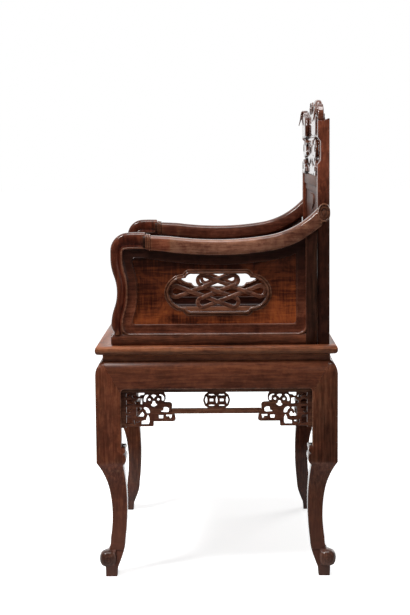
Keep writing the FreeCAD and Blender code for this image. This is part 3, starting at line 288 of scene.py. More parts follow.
def make_stage():
    """Floor that looks white and keeps the shadow."""
    mesh = bpy.data.meshes.new("floor")
    corners = [(30.0 * u, 30.0 * v, 0.0) for u, v in ((-1, -1), (1, -1), (1, 1), (-1, 1))]
    mesh.from_pydata(corners, [], [(0, 1, 2, 3)])
    floor = bpy.data.objects.new("floor", mesh)
    scene.collection.objects.link(floor)
    material = bpy.data.materials.new("floor")
    material.use_nodes = True
    tree = material.node_tree
    tree.nodes.remove(tree.nodes["Principled BSDF"])
    light = add(tree, "ShaderNodeLightPath").outputs
    place = add(tree, "ShaderNodeNewGeometry").outputs["Position"]
    x = add(tree, "ShaderNodeSeparateXYZ", {0: place}).outputs[0]
    fade = maths(tree, "MULTIPLY", light["Is Glossy Ray"], span(tree, x, (-0.2, 0.0), (0.6, 1.0)))
    white = maths(tree, "MULTIPLY", maths(tree, "SUBTRACT", 1.0, fade), 0.80)
    plain = add(tree, "ShaderNodeBsdfDiffuse", {"Color": white})
    mirrored_part = maths(tree, "MULTIPLY", light["Is Glossy Ray"], span(tree, x, (-0.2, 0.6), (0.6, 0.0)))
    direct = maths(tree, "MAXIMUM", light["Is Camera Ray"], light["Is Transmission Ray"])
    clear = maths(tree, "MULTIPLY", direct, span(tree, x, (-3.0, 0.96), (-0.6, 0.76)))
    strength = maths(tree, "ADD", mirrored_part, clear)
    glow = add(tree, "ShaderNodeEmission", {"Color": (1.0, 1.0, 1.0, 1.0), "Strength": strength})
    both = add(tree, "ShaderNodeAddShader", {0: plain.outputs[0], 1: glow.outputs[0]})
    tree.links.new(both.outputs[0], tree.nodes["Material Output"].inputs["Surface"])
    mesh.materials.append(material)


def make_world():
    """White surroundings that light the chair softly and are mirrored more from behind."""
    world = bpy.data.worlds.new("world")
    scene.world = world
    world.use_nodes = True
    tree = world.node_tree
    light = add(tree, "ShaderNodeLightPath").outputs
    clear = maths(tree, "MAXIMUM", light["Is Camera Ray"], light["Is Transmission Ray"])
    seen = maths(tree, "MAXIMUM", clear, light["Is Glossy Ray"])
    way = add(tree, "ShaderNodeTexCoord").outputs["Generated"]
    side = add(tree, "ShaderNodeSeparateXYZ", {0: way}).outputs[0]
    mirrored_part = span(tree, side, (-0.30, 1.0), (0.25, 0.05))
    plain = maths(tree, "MULTIPLY", maths(tree, "SUBTRACT", 1.0, seen), 0.13)
    glossy = maths(tree, "MULTIPLY", light["Is Glossy Ray"], mirrored_part)
    strength = maths(tree, "ADD", plain, maths(tree, "ADD", glossy, clear))
    back = tree.nodes["Background"]
    back.inputs["Color"].default_value = (1.0, 1.0, 1.0, 1.0)
    tree.links.new(strength, back.inputs["Strength"])


# Lamps as name, place, target, size and power
LAMPS = (("key", (1.40, -1.55, 2.9), (0.25, 0, 0.5), 0.7, 84.0),
         ("fill", (2.6, 1.8, 1.2), (0, 0, 0.5), 1.2, 5.0),
         ("top", (0.55, 0.0, 3.0), (0.2, 0, 0.5), 1.2, 50.0),
         ("rear", (-1.9, 1.9, 1.5), (0, 0, 0.5), 1.6, 26.0))


def make_lights():
    """Square lamps, each turned to its target."""
    for name, place, target, size, power in LAMPS:
        data = bpy.data.lights.new(name, "AREA")
        data.shape = "RECTANGLE"
        data.size = data.size_y = size
        data.energy = power
        light = bpy.data.objects.new(name, data)
        scene.collection.objects.link(light)
        light.location = place
        light.rotation_euler = (Vector(target) - Vector(place)).to_track_quat("-Z", "Y").to_euler()


def place_piece(name, shape, material, replaces=(), way=1, smooth=True, soften=0.0):
    """A piece of the chair from (vertices, faces) in metres, mirrored by way -1, softened by a width."""
    vertices, faces = shape
    mesh = bpy.data.meshes.new(name)
    mesh.from_pydata([(way * x, y, z) for x, y, z in vertices], [], faces)
    mesh.validate()
    piece = bpy.data.objects.new(name, mesh)
    scene.collection.objects.link(piece)
    mesh.materials.append(material)
    repair = bmesh.new()
    repair.from_mesh(mesh)
    bmesh.ops.recalc_face_normals(repair, faces=repair.faces)
    repair.to_mesh(mesh)
    repair.free()
    if smooth:
        mesh.shade_smooth()
        mesh.set_sharp_from_angle(angle=PIECE_ANGLE)
    if soften:
        bevel = piece.modifiers.new("soft_edges", "BEVEL")
        bevel.width, bevel.segments = soften, 4
        bevel.limit_method, bevel.angle_limit = "ANGLE", BEVEL_ANGLE
    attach(piece, "root")
    if replaces:
        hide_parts(*replaces)


def frames(path, closed):
    """For points in a plane across X: the point, its left normal in (Y, Z) and the mitre's stretch."""
    rows = []
    count = len(path)
    for k in range(count):
        before = path[k - 1] if closed or k else path[0]
        after = path[(k + 1) % count] if closed or k < count - 1 else path[-1]
        here = path[k]
        one = Vector((here[0] - before[0], here[1] - before[1]))
        two = Vector((after[0] - here[0], after[1] - here[1]))
        one = (two if one.length < 1e-9 else one).normalized()
        two = (one if two.length < 1e-9 else two).normalized()
        along = (one + two).normalized()
        rows.append((here, Vector((-along.y, along.x)), 1.0 / max(0.5, along.dot(two))))
    return rows


def skin(rows, size, closed=False, caps=True):
    """Faces between rows of equally many points, with flat ends where the rows don't close."""
    faces = []
    for k in range(rows if closed else rows - 1):
        after = (k + 1) % rows
        faces += [(k * size + j, k * size + (j + 1) % size, after * size + (j + 1) % size, after * size + j)
                  for j in range(size)]
    if caps and not closed:
        faces += [tuple(range(size)), tuple((rows - 1) * size + j for j in range(size))]
    return faces


def sweep(path, section, x, closed=False, shares=None, lift=None):
    """Vertices and faces of a section (across, out) carried along a path of (Y, Z) at a place x."""
    vertices = []
    for k, (here, normal, stretch) in enumerate(frames(path, closed)):
        share = shares[k] if shares else 1.0
        rise = lift[k] if lift else 0.0
        for across, out in section:
            move = normal * across * stretch * share
            vertices.append((x + out + rise, here[0] + move.x, here[1] + move.y))
    return vertices, skin(len(path), len(section), closed)


def arc_points(centre, radius, start, end, count):
    """Points on a circle in (Y, Z), with angles in degrees."""
    turns = [math.radians(start + (end - start) * k / (count - 1)) for k in range(count)]
    return [(centre[0] + radius * math.cos(a), centre[1] + radius * math.sin(a)) for a in turns]


def squared(turn, wide, deep, power):
    """Point of an oval with half sizes, squarer with a power below 1."""
    u, v = math.cos(turn), math.sin(turn)
    return math.copysign(abs(u) ** power, u) * wide, math.copysign(abs(v) ** power, v) * deep


def oval(wide, deep, count=16, power=2.0):
    """Section points of a rounded bar, squarer with a higher power."""
    return [squared(2 * math.pi * (k + 0.5) / count, wide / 2, deep / 2, 2 / power) for k in range(count)]


def ribbon(one_edge, other_edge, section, x):
    """Bar between two edges of equally many points, with a closed section of (share across, distance out)."""
    vertices = []
    for (y0, z0), (y1, z1) in zip(one_edge, other_edge):
        vertices += [(x + out, y0 + (y1 - y0) * share, z0 + (z1 - z0) * share) for share, out in section]
    return vertices, skin(len(one_edge), len(section))


def through(a, b, c, count):
    """Points on the arc through three points in (Y, Z), without the last one."""
    ax, ay, bx, by, cx, cy = *a, *b, *c
    d = 2 * (ax * (by - cy) + bx * (cy - ay) + cx * (ay - by))
    aa, bb, cc = ax * ax + ay * ay, bx * bx + by * by, cx * cx + cy * cy
    ux = (aa * (by - cy) + bb * (cy - ay) + cc * (ay - by)) / d
    uy = (aa * (cx - bx) + bb * (ax - cx) + cc * (bx - ax)) / d
    start, middle, end = (math.atan2(y - uy, x - ux) for x, y in (a, b, c))
    turn = (end - start) % (2 * math.pi)
    if (middle - start) % (2 * math.pi) > turn:
        turn -= 2 * math.pi
    radius = math.hypot(ax - ux, ay - uy)
    turns = [start + turn * k / count for k in range(count)]
    return [(ux + radius * math.cos(a), uy + radius * math.sin(a)) for a in turns]


# Arm frames, in metres
ARM_X = 0.290
LOBE = (-0.110, 0.0704, 0.108)
WAIST = (-0.3004, 0.601, 0.095)
WAIST_SLIM, WAIST_SPREAD = 0.0024, 0.035
S_TURN = 20.3
POST_WIDE, POST_BOTTOM = 0.0245, 0.5125
HEAD_TOP, HEAD_RADIUS = 0.7240, 0.0375
UNDER_TOP, UNDER_RADIUS = 0.6912, 0.0095
BASE_BOTTOM, BASE_TOP = 0.4902, 0.5130
BASE_FRONT, BASE_REAR = -0.1940, 0.1860
OPENING_REAR = 0.1865
RAIL_ARCS = (((0.008, 1.453), 0.760), ((0.008, 1.353), 0.660), ((0.0804, 0.8906), 0.192))
RAIL_TURNS = (0.008, 0.1125)
RAIL_HALF = 0.0155
RAIL_FRONT, RAIL_JOINT, RAIL_REAR = -0.1335, -0.093, 0.2195
TOP_DROP, LOW_DROP = 0.0045, 0.0025
COLLARS = ((-0.1428, 0.0024), (-0.1396, 0.0026), (-0.1362, 0.0030))
COLLAR_HALF = (0.0190, 0.0156)
NECK_HALF, NECK_FRONT, NECK_REAR = 0.0140, -0.1500, -0.1320


def s_line(inset, count=9):
    """The S curve at a distance behind the post's front edge, from its lower lobe to its upper lobe."""
    low = arc_points((LOBE[0], WAIST[1] - LOBE[1]), LOBE[2] - inset, 180.0, 180.0 - S_TURN, count)
    middle = arc_points(WAIST[:2], WAIST[2] + inset, -S_TURN, S_TURN, 2 * count)
    high = arc_points((LOBE[0], WAIST[1] + LOBE[1]), LOBE[2] - inset, 180.0 + S_TURN, 180.0, count)
    line = low + middle[1:-1] + high
    slim = WAIST_SLIM * min(1.0, inset / POST_WIDE)
    return [(y - slim * math.exp(-((z - WAIST[1]) / WAIST_SPREAD) ** 2), z) for y, z in line]


def rail_line(drop, start, end, count):
    """The arm rail's line at a distance below its middle, between two places along Y."""
    points = []
    for k in range(count):
        y = start + (end - start) * k / (count - 1)
        part = sum(y >= turn for turn in RAIL_TURNS)
        (cy, cz), radius = RAIL_ARCS[part]
        r = radius + drop
        points.append((y, cz - math.sqrt(max(r * r - (y - cy) ** 2, 0.0))))
    return points


def opening_line(inset, corner):
    """Closed outline of the arm's opening, moved inwards, with round lower corners."""
    low = BASE_TOP + inset
    right = OPENING_REAR - inset
    line = s_line(POST_WIDE + inset)
    left = line[0][0]
    radius = UNDER_RADIUS
    top_turn = arc_points((left + radius, UNDER_TOP - inset - radius), radius, 180.0, 90.0, 5)
    rail = rail_line(RAIL_HALF + inset, -0.140, right, 26)
    corner_left = arc_points((left + corner, low + corner), corner, 270.0, 180.0, 6)
    corner_right = arc_points((right - corner, low + corner), corner, 0.0, -90.0, 6)
    return corner_left + line[1:] + top_turn + rail + corner_right


def half_round(radius, count=7):
    """Section of a bead with its flat side sunk a little."""
    points = arc_points((0.0, 0.0), radius, 0.0, 180.0, count)
    return [(radius, -radius * 0.6)] + points + [(-radius, -radius * 0.6)]


# Half sections of the post, its base and the rail, as (share across, distance out)
POST_HALF = ((0.0, 0.0030), (0.015, 0.0072), (0.06, 0.0106), (0.15, 0.0130), (0.30, 0.0140), (0.46, 0.0139),
             (0.60, 0.0128), (0.70, 0.0108), (0.74, 0.0098), (0.78, 0.0106), (0.86, 0.0112), (0.94, 0.0104),
             (1.0, 0.0085))
BASE_HALF = ((0.0, 0.0104), (0.06, 0.0122), (0.25, 0.0137), (0.50, 0.0140), (0.72, 0.0131), (0.86, 0.0112),
             (0.94, 0.0100), (1.0, 0.0088))
RAIL_TOP = ((0.0, 0.0), (0.004, 0.0060), (0.03, 0.0120), (0.10, 0.0162), (0.22, 0.0184), (0.42, 0.0190),
            (0.64, 0.0189), (0.82, 0.0184), (0.92, 0.0173), (0.975, 0.0152), (1.0, 0.0120))


def closed_section(half):
    """Whole section from the half that lies outwards, with a point on the middle plane only once."""
    return list(half) + [(share, -out) for share, out in reversed(half) if out]


def arm_post(side, way):
    """Moulded S-shaped post with its bent head, and the base that it stands on."""
    outer = [(-0.2125, POST_BOTTOM), (-0.2125, 0.5190), (-0.2155, 0.5225)] + s_line(0.0)
    inner = [(-0.1935, z) for z in (POST_BOTTOM, 0.5190, 0.5225)] + s_line(POST_WIDE)
    for edge, top, radius in ((outer, HEAD_TOP, HEAD_RADIUS), (inner, UNDER_TOP, UNDER_RADIUS)):
        edge += arc_points((edge[-1][0] + radius, top - radius), radius, 180.0, 90.0, 11)
    outer += [(-0.165, 0.7243), (-0.1475, 0.7241), (-0.1455, 0.7230)]
    inner += [(-0.165, 0.6910), (-0.1475, 0.6900), (-0.1455, 0.6912)]
    name = "arm_post_" + side
    shape = ribbon(outer, inner, closed_section(POST_HALF), ARM_X)
    place_piece("moulded_" + name, shape, wood("arm", "z"), (name,), way)
    low = [(-0.2180, 0.4925), (-0.2170, 0.4908), (-0.2150, BASE_BOTTOM), (BASE_FRONT, BASE_BOTTOM)]
    top = [(-0.2180, 0.5105), (-0.2170, 0.5122), (-0.2150, BASE_TOP), (BASE_FRONT, BASE_TOP)]
    shape = ribbon(low, top, closed_section(BASE_HALF), ARM_X)
    place_piece("post_base_" + side, shape, wood("base", "y"), way=way)


def front_drop(line, most):
    """The rail's line let down a little towards its front end."""
    reach = RAIL_JOINT - RAIL_FRONT
    return [(y, z - most * max(0.0, min(1.0, (RAIL_JOINT - y) / reach)) ** 1.3) for y, z in line]


def rail_bar(half, start, end, count, section):
    """Bar along the arm rail's line, with the drop at its front."""
    top = front_drop(rail_line(-half, start, end, count), TOP_DROP)
    low = front_drop(rail_line(half, start, end, count), LOW_DROP)
    return ribbon(top, low, section, ARM_X)


def arm_rails(side, way):
    """Front length and long curved length of the arm rail, with three collars at the front end."""
    far = side == "right"
    for name, start, end, count in (("arm_rail_front_", RAIL_FRONT, RAIL_JOINT, 10),
                                    ("arm_rail_", RAIL_JOINT, RAIL_REAR, 40)):
        vertices, faces = rail_bar(RAIL_HALF, start, end, count, closed_section(RAIL_TOP))
        if name == "arm_rail_":
            scroll, more = scroll_end()
            faces = faces + [tuple(len(vertices) + k for k in face) for face in more]
            vertices = vertices + scroll
        kind = "rail_far" if far else "rail" if name == "arm_rail_" else "rail_front"
        name += side
        place_piece("rounded_" + name, (vertices, faces), wood(kind, "y"), (name,), way)
    for y, thick in COLLARS:
        z = rail_line(0.0, y, y + 0.001, 2)[0][1] - (TOP_DROP + LOW_DROP) / 2
        ring = [squared(2 * math.pi * k / 24, *COLLAR_HALF, 0.55) for k in range(24)]
        shape = hoop([(u, z + v) for u, v in ring], y, oval(thick, thick, 8))
        place_piece("rail_collar_%s_%d" % (side, round(-y * 10000)), shape,
                    wood("rail_far" if far else "rail_front", "y"), way=way)


def rail_necks(side, way):
    """Recessed neck between the post's head and the beaded end of the rail, made near-black as painted shade
    in the gap.
    """
    section = [(share, out * 0.90) for share, out in closed_section(RAIL_TOP)]
    shape = rail_bar(NECK_HALF, NECK_FRONT, NECK_REAR, 4, section)
    place_piece("rail_neck_" + side, shape, wood("dark", "y"), way=way)


def hoop(ring, y, section):
    """Round bar bent along a closed ring of (x offset, z) at a place y."""
    middle = sum(z for _, z in ring) / len(ring)
    vertices = []
    for x, z in ring:
        out = Vector((x, z - middle)).normalized()
        vertices += [(ARM_X + x + out.x * a, y + b, z + out.y * a) for a, b in section]
    return vertices, skin(len(ring), len(section), closed=True)


SCROLL_RINGS = ((0.300, 1.0), (0.3125, 1.0), (0.3143, 0.965), (0.3150, 0.88), (0.3146, 0.82),
                (0.3138, 0.79), (0.3138, 0.74), (0.3148, 0.70), (0.3152, 0.55), (0.3148, 0.46),
                (0.3136, 0.42), (0.3136, 0.37), (0.3148, 0.32), (0.3154, 0.15))
SCROLL_Y, SCROLL_RADIUS, SCROLL_STRETCH = 0.223, 0.0125, 0.0065


def scroll_end():
    """Upright oval scroll on the outer face of the stile, with two rings cut in it."""
    z = rail_line(0.0, SCROLL_Y, SCROLL_Y + 0.001, 2)[0][1] + 0.001
    count = 32
    vertices = []
    for x, share in SCROLL_RINGS:
        for k in range(count):
            a = 2 * math.pi * k / count
            up = math.sin(a)
            up = SCROLL_RADIUS * up + math.copysign(SCROLL_STRETCH, up) * abs(up) ** 0.5
            vertices.append((x, SCROLL_Y + SCROLL_RADIUS * share * math.cos(a), z + up * share))
    return vertices, skin(len(SCROLL_RINGS), count)


# Hollow between the arm's opening and the panel's field, as (share across, distance out)
COVE = ((0.0, 0.0040), (0.0, 0.0094), (0.05, 0.0082), (0.13, 0.0071), (0.26, 0.0064), (0.50, 0.0063),
        (0.70, 0.0066), (0.82, 0.0074), (0.90, 0.0076), (0.955, 0.0068), (1.0, 0.0046), (1.0, 0.0038))


def bottom_rail(side, way):
    """Rounded rail on the seat between the front post and the rear post."""
    low, top = ([(BASE_FRONT, z), (BASE_REAR, z)] for z in (BASE_BOTTOM, BASE_TOP))
    name = "arm_bottom_rail_" + side
    shape = ribbon(low, top, closed_section(BASE_HALF), ARM_X)
    # The far arm's bottom rail takes a darker wood as painted shade
    material = wood("base" if side == "left" else "dark_arm", "y")
    place_piece("rounded_" + name, shape, material, (name,), way)


FACES = {"outer_": 1, "inner_": -1}


def on_face(face, name, shape, side, way, kind, out=0.0):
    """A shape made on a plane across X, placed on the outer or the inner face of an arm."""
    vertices, faces = shape
    moved = [(ARM_X + FACES[face] * (out + x), y, z) for x, y, z in vertices]
    # The far arm's inner face, all but the cartouche's lips, takes the near-black wood as painted shade
    shaded = (side, face) == ("right", "inner_") and kind != "lip"
    material = wood("dark" if shaded else kind, "y")
    place_piece(name + face + side, (moved, faces), material, way=way)


def arm_beads(side, way):
    """Bead round the opening and a finer one round the panel's field, with a hollow between them."""
    for name, inset, corner, radius, out, slot, kind in (
            ("opening_bead_", -0.0012, 0.0175, 0.0022, 0.0092, "arm_post_", "bead"),
            ("field_bead_", 0.0188, 0.006, 0.0013, 0.0068, "arm_panel_", "dark_arm")):
        shape = sweep(opening_line(inset, corner), half_round(radius), 0.0, closed=True)
        for face in FACES:
            on_face(face, name, shape, side, way, kind, out)
    outer, inner = opening_line(0.0, 0.0165), opening_line(0.0208, 0.006)
    vertices, faces = ribbon(outer + outer[:1], inner + inner[:1], COVE, 0.0)
    for face in FACES:
        on_face(face, "cove_", (vertices, faces[:-2]), side, way, "dark_arm")


CARTOUCHE = (0.0045, 0.5985, 0.1027, 0.0396)
LOBES = (((0.92, 0.49), (0.655, 0.80)), ((0.61, 0.94), (0.50, 1.0)))


def cartouche_line(grow, count=7):
    """Closed lobed outline of the cartouche, grown by a distance."""
    cy, cz, a, b = CARTOUCHE
    a, b = a + grow, b + grow
    quarter = []
    here = (1.0, 0.0)
    for middle, end in LOBES:
        quarter += through(*[(a * u, b * v) for u, v in (here, middle, end)], count)
        here = end
    quarter.append((a * here[0], b * here[1]))
    line = quarter + [(-u, v) for u, v in reversed(quarter)]
    line += [(-u, -v) for u, v in quarter[1:]] + [(u, -v) for u, v in reversed(quarter[1:])]
    return [(cy + u, cz + v) for u, v in line]


def cartouche_lips(side, way):
    """Raised lip and its outer edge round the cartouche, on both faces."""
    for face in FACES:
        for name, grow, radius, out in (("lip_", 0.0020, 0.0026, 0.0066),
                                        ("lip_edge_", 0.0072, 0.0018, 0.0050)):
            shape = sweep(cartouche_line(grow), half_round(radius), 0.0, closed=True)
            on_face(face, "cartouche_" + name, shape, side, way, "lip", out)


KNOT_ANGLE = math.radians(21.0)
KNOT_SPACING = 0.020
KNOT_HALF = 0.0986
KNOT_LOOP = 0.032
KNOT_REACH, KNOT_LIFT, KNOT_STEP = 0.0149, 0.0029, 0.0024
STRAND = (0.0086, 0.0066)
KNOT_CENTRE = (0.0045, 0.601)


def knot_runs():
    """Straight runs and turns of the endless knot in order, about its own middle."""
    slope = math.tan(KNOT_ANGLE)
    cross = KNOT_SPACING / math.sin(KNOT_ANGLE)
    reach = (KNOT_HALF - cross) / (1 + math.sin(KNOT_ANGLE))
    far = cross + reach * math.cos(KNOT_ANGLE) ** 2
    radius = KNOT_SPACING / 2
    lean = math.degrees(KNOT_ANGLE)
    aside = (-math.sin(KNOT_ANGLE) * radius, math.cos(KNOT_ANGLE) * radius)
    loop = (KNOT_LOOP, radius / math.cos(KNOT_ANGLE) + slope * KNOT_LOOP)
    outer = (loop[0] + aside[0], loop[1] + aside[1])
    inner = (loop[0] - aside[0], loop[1] - aside[1])
    back = (-loop[0], -loop[1])
    half = [("line", (-far, (cross - far) * slope), outer), ("turn", loop, radius, 90 + lean, lean - 90),
            ("line", inner, (-inner[0], -inner[1])), ("turn", back, radius, 90 + lean, 270 + lean),
            ("line", (-outer[0], -outer[1]), (far, (far - cross) * slope)),
            ("turn", (cross + reach, 0.0), reach * math.sin(KNOT_ANGLE), 90 + lean, -90 - lean)]
    return half + [mirrored(run) for run in half]


def mirrored(run):
    """A run turned over left to right."""
    if run[0] == "line":
        return ("line", *[(-y, z) for y, z in run[1:]])
    return ("turn", (-run[1][0], run[1][1]), run[2], 180 - run[3], 180 - run[4])


def knot_crossings():
    """Each crossing's place, and whether the falling strand lies over there."""
    rise = KNOT_SPACING / math.cos(KNOT_ANGLE)
    return [((i - j) * rise / (2 * math.tan(KNOT_ANGLE)), (i + j) * rise / 2, (i + j) % 2 == 0)
            for i in (-1, 0, 1) for j in (-1, 0, 1)]


def knot_line():
    """Points of the endless knot and their lifts, over and under in turn."""
    points, lifts = [], []
    crossings = knot_crossings()
    for run in knot_runs():
        if run[0] == "turn":
            _, centre, radius, start, end = run
            count = max(8, round(abs(end - start) / 12))
            points += arc_points(centre, radius, start, end, count)[:-1]
            lifts += [0.0] * (count - 1)
            continue
        (y0, z0), (y1, z1) = run[1:]
        falling = (y1 - y0) * (z1 - z0) < 0
        count = round(math.hypot(y1 - y0, z1 - z0) / KNOT_STEP)
        for k in range(count):
            y, z = y0 + (y1 - y0) * k / count, z0 + (z1 - z0) * k / count
            lift = 0.0
            for cy, cz, falling_over in crossings:
                away = math.hypot(y - cy, z - cz)
                along = abs((y - cy) * (z1 - z0) - (z - cz) * (y1 - y0)) < 1e-6
                if along and away < KNOT_REACH:
                    share = math.cos(away / KNOT_REACH * math.pi / 2) ** 1.4
                    lift += share if falling == falling_over else -share
            points.append((y, z))
            lifts.append(lift * KNOT_LIFT)
    return [(KNOT_CENTRE[0] + y, KNOT_CENTRE[1] + z) for y, z in points], lifts


def arm_knots(side, way):
    """Endless knot woven from one strand."""
    path, lifts = knot_line()
    shape = sweep(path, oval(*STRAND, power=3.0), ARM_X, closed=True, lift=lifts)
    name = "arm_knot_" + side
    place_piece("woven_" + name, shape, wood("knot", "y"), (name,), way)


# Back, in metres, with shapes as points (x, z) on planes across Y
def smooth_loop(points, steps=5):
    """Closed smooth curve through points."""
    out, count = [], len(points)
    for k in range(count):
        a, b, c, d = (points[(k + j) % count] for j in (-1, 0, 1, 2))
        for i in range(steps):
            t = i / steps
            out.append(tuple(0.5 * (2 * q + (r - p) * t + (2 * p - 5 * q + 4 * r - w) * t * t
                                    + (3 * q - p - 3 * r + w) * t ** 3) for p, q, r, w in zip(a, b, c, d)))
    return out


def prism(one, other):
    """Solid between two copies of an outline."""
    count = len(one)
    faces = [tuple(range(count)), tuple(range(2 * count - 1, count - 1, -1))]
    faces += [(k, (k + 1) % count, count + (k + 1) % count, count + k) for k in range(count)]
    return one + other, faces


def plate(outline, front, back):
    """Flat plate with an outline of (x, z) between two places along Y."""
    return prism([(x, front, z) for x, z in outline], [(x, back, z) for x, z in outline])


def millimetres(points):
    """Points given in millimetres, in metres."""
    return [(x / 1000, z / 1000) for x, z in points]


def spiral(centre, outer, inner, start, turns, count=40):
    """Points of a spiral that winds inwards, with the tail's direction given in degrees."""
    points = []
    for k in range(count + 1):
        share = k / count
        radius = outer + (inner - outer) * share
        a = math.radians(start + 360.0 * turns * share)
        points.append((centre[0] + radius * math.cos(a), centre[1] + radius * math.sin(a)))
    return points


def ridge(path, wide, high, front, taper=0.45):
    """Raised half-round bar along a path of (x, z), standing on a plane across Y."""
    turns = [math.pi * k / 6 for k in range(7)]
    half = [(0.5 * wide * math.cos(a), high * math.sin(a)) for a in turns]
    section = [(0.5 * wide, -0.001)] + half + [(-0.5 * wide, -0.001)]
    count = len(path)
    shares = [1.0 - (1.0 - taper) * k / (count - 1) for k in range(count)]
    vertices, faces = sweep(path, section, 0.0, shares=shares)
    return [(y, front - x, z) for x, y, z in vertices], faces


def smooth_open(points, steps=6):
    """Smooth curve through points from the first to the last."""
    ends = [tuple(2 * a - b for a, b in zip(points[0], points[1]))] + list(points)
    ends += [tuple(2 * a - b for a, b in zip(points[-1], points[-2]))] * 2
    loop = smooth_loop(ends, steps)
    return loop[steps:steps * len(points) + 1]


def horn(points, start, end, sides=8):
    """Round tapered twig along points in space."""
    vertices = []
    count = len(points)
    for k, here in enumerate(points):
        along = Vector(points[min(k + 1, count - 1)]) - Vector(points[max(k - 1, 0)])
        side = along.cross(Vector((1, 0, 0))).normalized()
        other = along.cross(side).normalized()
        radius = start + (end - start) * k / (count - 1)
        for j in range(sides):
            a = 2 * math.pi * j / sides
            vertices.append(tuple(Vector(here) + side * radius * math.cos(a) + other * radius * math.sin(a)))
    return vertices, skin(count, sides)


CREST_SHARES = (((0.99, 0.35), (0.94, 0.63)), ((0.885, 0.60), (0.865, 0.38)), ((0.85, 0.21), (0.80, 0.18)),
                ((0.72, 0.24), (0.68, 0.42)), ((0.62, 0.54), (0.54, 0.44)), ((0.49, 0.34), (0.44, 0.42)),
                ((0.38, 0.66), (0.30, 0.66)), ((0.22, 0.66), (0.19, 0.78)))
CREST_HALF, STILE_TOP, CREST_RISE = 0.300, 0.951, 0.052
CREST_LOW, CREST_JOINT = 0.917, 0.246
BACK_FACE, BACK_REAR = 0.2165, 0.230
HEAD_HALF = ((0.052, 0.45), (0.050, 0.70), (0.044, 0.86), (0.034, 0.95), (0.018, 0.90), (0.007, 0.97))
HEAD_REAR, HEAD_FOOT = 0.2270, 0.975


def crest_board():
    """The crest's board with its stepped cloud outline and the head that rolls backwards."""
    half = [(0.262, CREST_LOW), (0.262, STILE_TOP)]
    here = (1.0, 0.0)
    for middle, end in CREST_SHARES:
        points = [(CREST_HALF * u, STILE_TOP + CREST_RISE * v) for u, v in (here, middle, end)]
        half += through(*points, 6)
        here = end
    half.append((CREST_HALF * here[0], STILE_TOP + CREST_RISE * here[1]))
    outline = half + [(-x, z) for x, z in reversed(half)]
    middle = [(x, z) for x, z in outline if abs(x) < CREST_JOINT and z > STILE_TOP]
    board = [(CREST_JOINT, CREST_LOW)] + middle + [(-CREST_JOINT, CREST_LOW)]
    carved = wood("back", "x")
    place_piece("crest_board", plate(board, BACK_FACE, BACK_REAR), carved, ("crest",), soften=0.0025)
    end = [(x, z) for x, z in half if x >= CREST_JOINT] + [(0.244, 0.9605), (0.244, CREST_LOW)]
    for way in (1, -1):
        place_piece("crest_end_%d" % (way + 1), plate(end, 0.2110, 0.2235), carved, way=way,
                    soften=0.0022)
    turns = [math.radians(205 - 15 * k) for k in range(22)]
    head = [(0.2295 + 0.0093 * math.cos(a), 0.9925 + 0.0103 * math.sin(a)) for a in turns]
    head += [(0.2285, 0.9700), (0.2170, 0.9700)]
    vertices = []
    places = [(-x, share) for x, share in HEAD_HALF] + [(0.0, 1.0)] + list(reversed(HEAD_HALF))
    for x, share in places:
        vertices += [(x, HEAD_REAR + (y - HEAD_REAR) * (0.4 + 0.6 * share),
                      HEAD_FOOT + (z - HEAD_FOOT) * share) for y, z in head]
    place_piece("crest_head", (vertices, skin(len(places), len(head))), carved)
    for way in (1, -1):
        path = spiral((way * 0.030, 0.981), 0.0125, 0.0025, 90, -way * 1.6)
        place_piece("crest_head_curl_%d" % (way + 1), ridge(path, 0.0046, 0.0022, BACK_FACE), carved)


# Carved clouds, with points (x, z) in millimetres
CLOUD = ((124, 924), (150, 920), (200, 919), (246, 921), (257, 934), (260, 950), (272, 958), (288, 962),
         (292, 974), (284, 982), (271, 979), (262, 966), (248, 955), (230, 953), (212, 960), (200, 970),
         (184, 974), (166, 968), (148, 969), (132, 962), (122, 945))
UPPER = ((112, 884), (128, 877), (150, 880), (172, 876), (196, 873), (220, 877), (232, 890), (226, 905),
         (208, 913), (186, 909), (168, 901), (148, 903), (126, 898))
LOWER = ((150, 846), (166, 838), (188, 842), (208, 836), (232, 837), (244, 848), (238, 862), (220, 869),
         (200, 864), (180, 858), (160, 857))
LEAF = ((118, 910), (140, 904), (165, 913), (185, 917))
TAIL = ((205, 864), (180, 852), (150, 850), (130, 842))
PLAQUE = ((0, 866), (26, 872), (52, 869), (74, 860), (98, 862), (112, 878), (108, 898), (114, 916), (60, 919))
APRON = ((118, 838), (128, 846), (118, 855), (96, 853), (70, 849), (44, 856), (22, 862), (0, 858))
TENDRIL = ((268, 212.5, 983), (270, 209.5, 981), (272, 207.5, 975), (273, 206, 966), (274, 204, 957),
           (275, 201.5, 949))
CLOUD_REAR, PLAQUE_FACE, PLAQUE_REAR = 0.2175, 0.2150, 0.2280


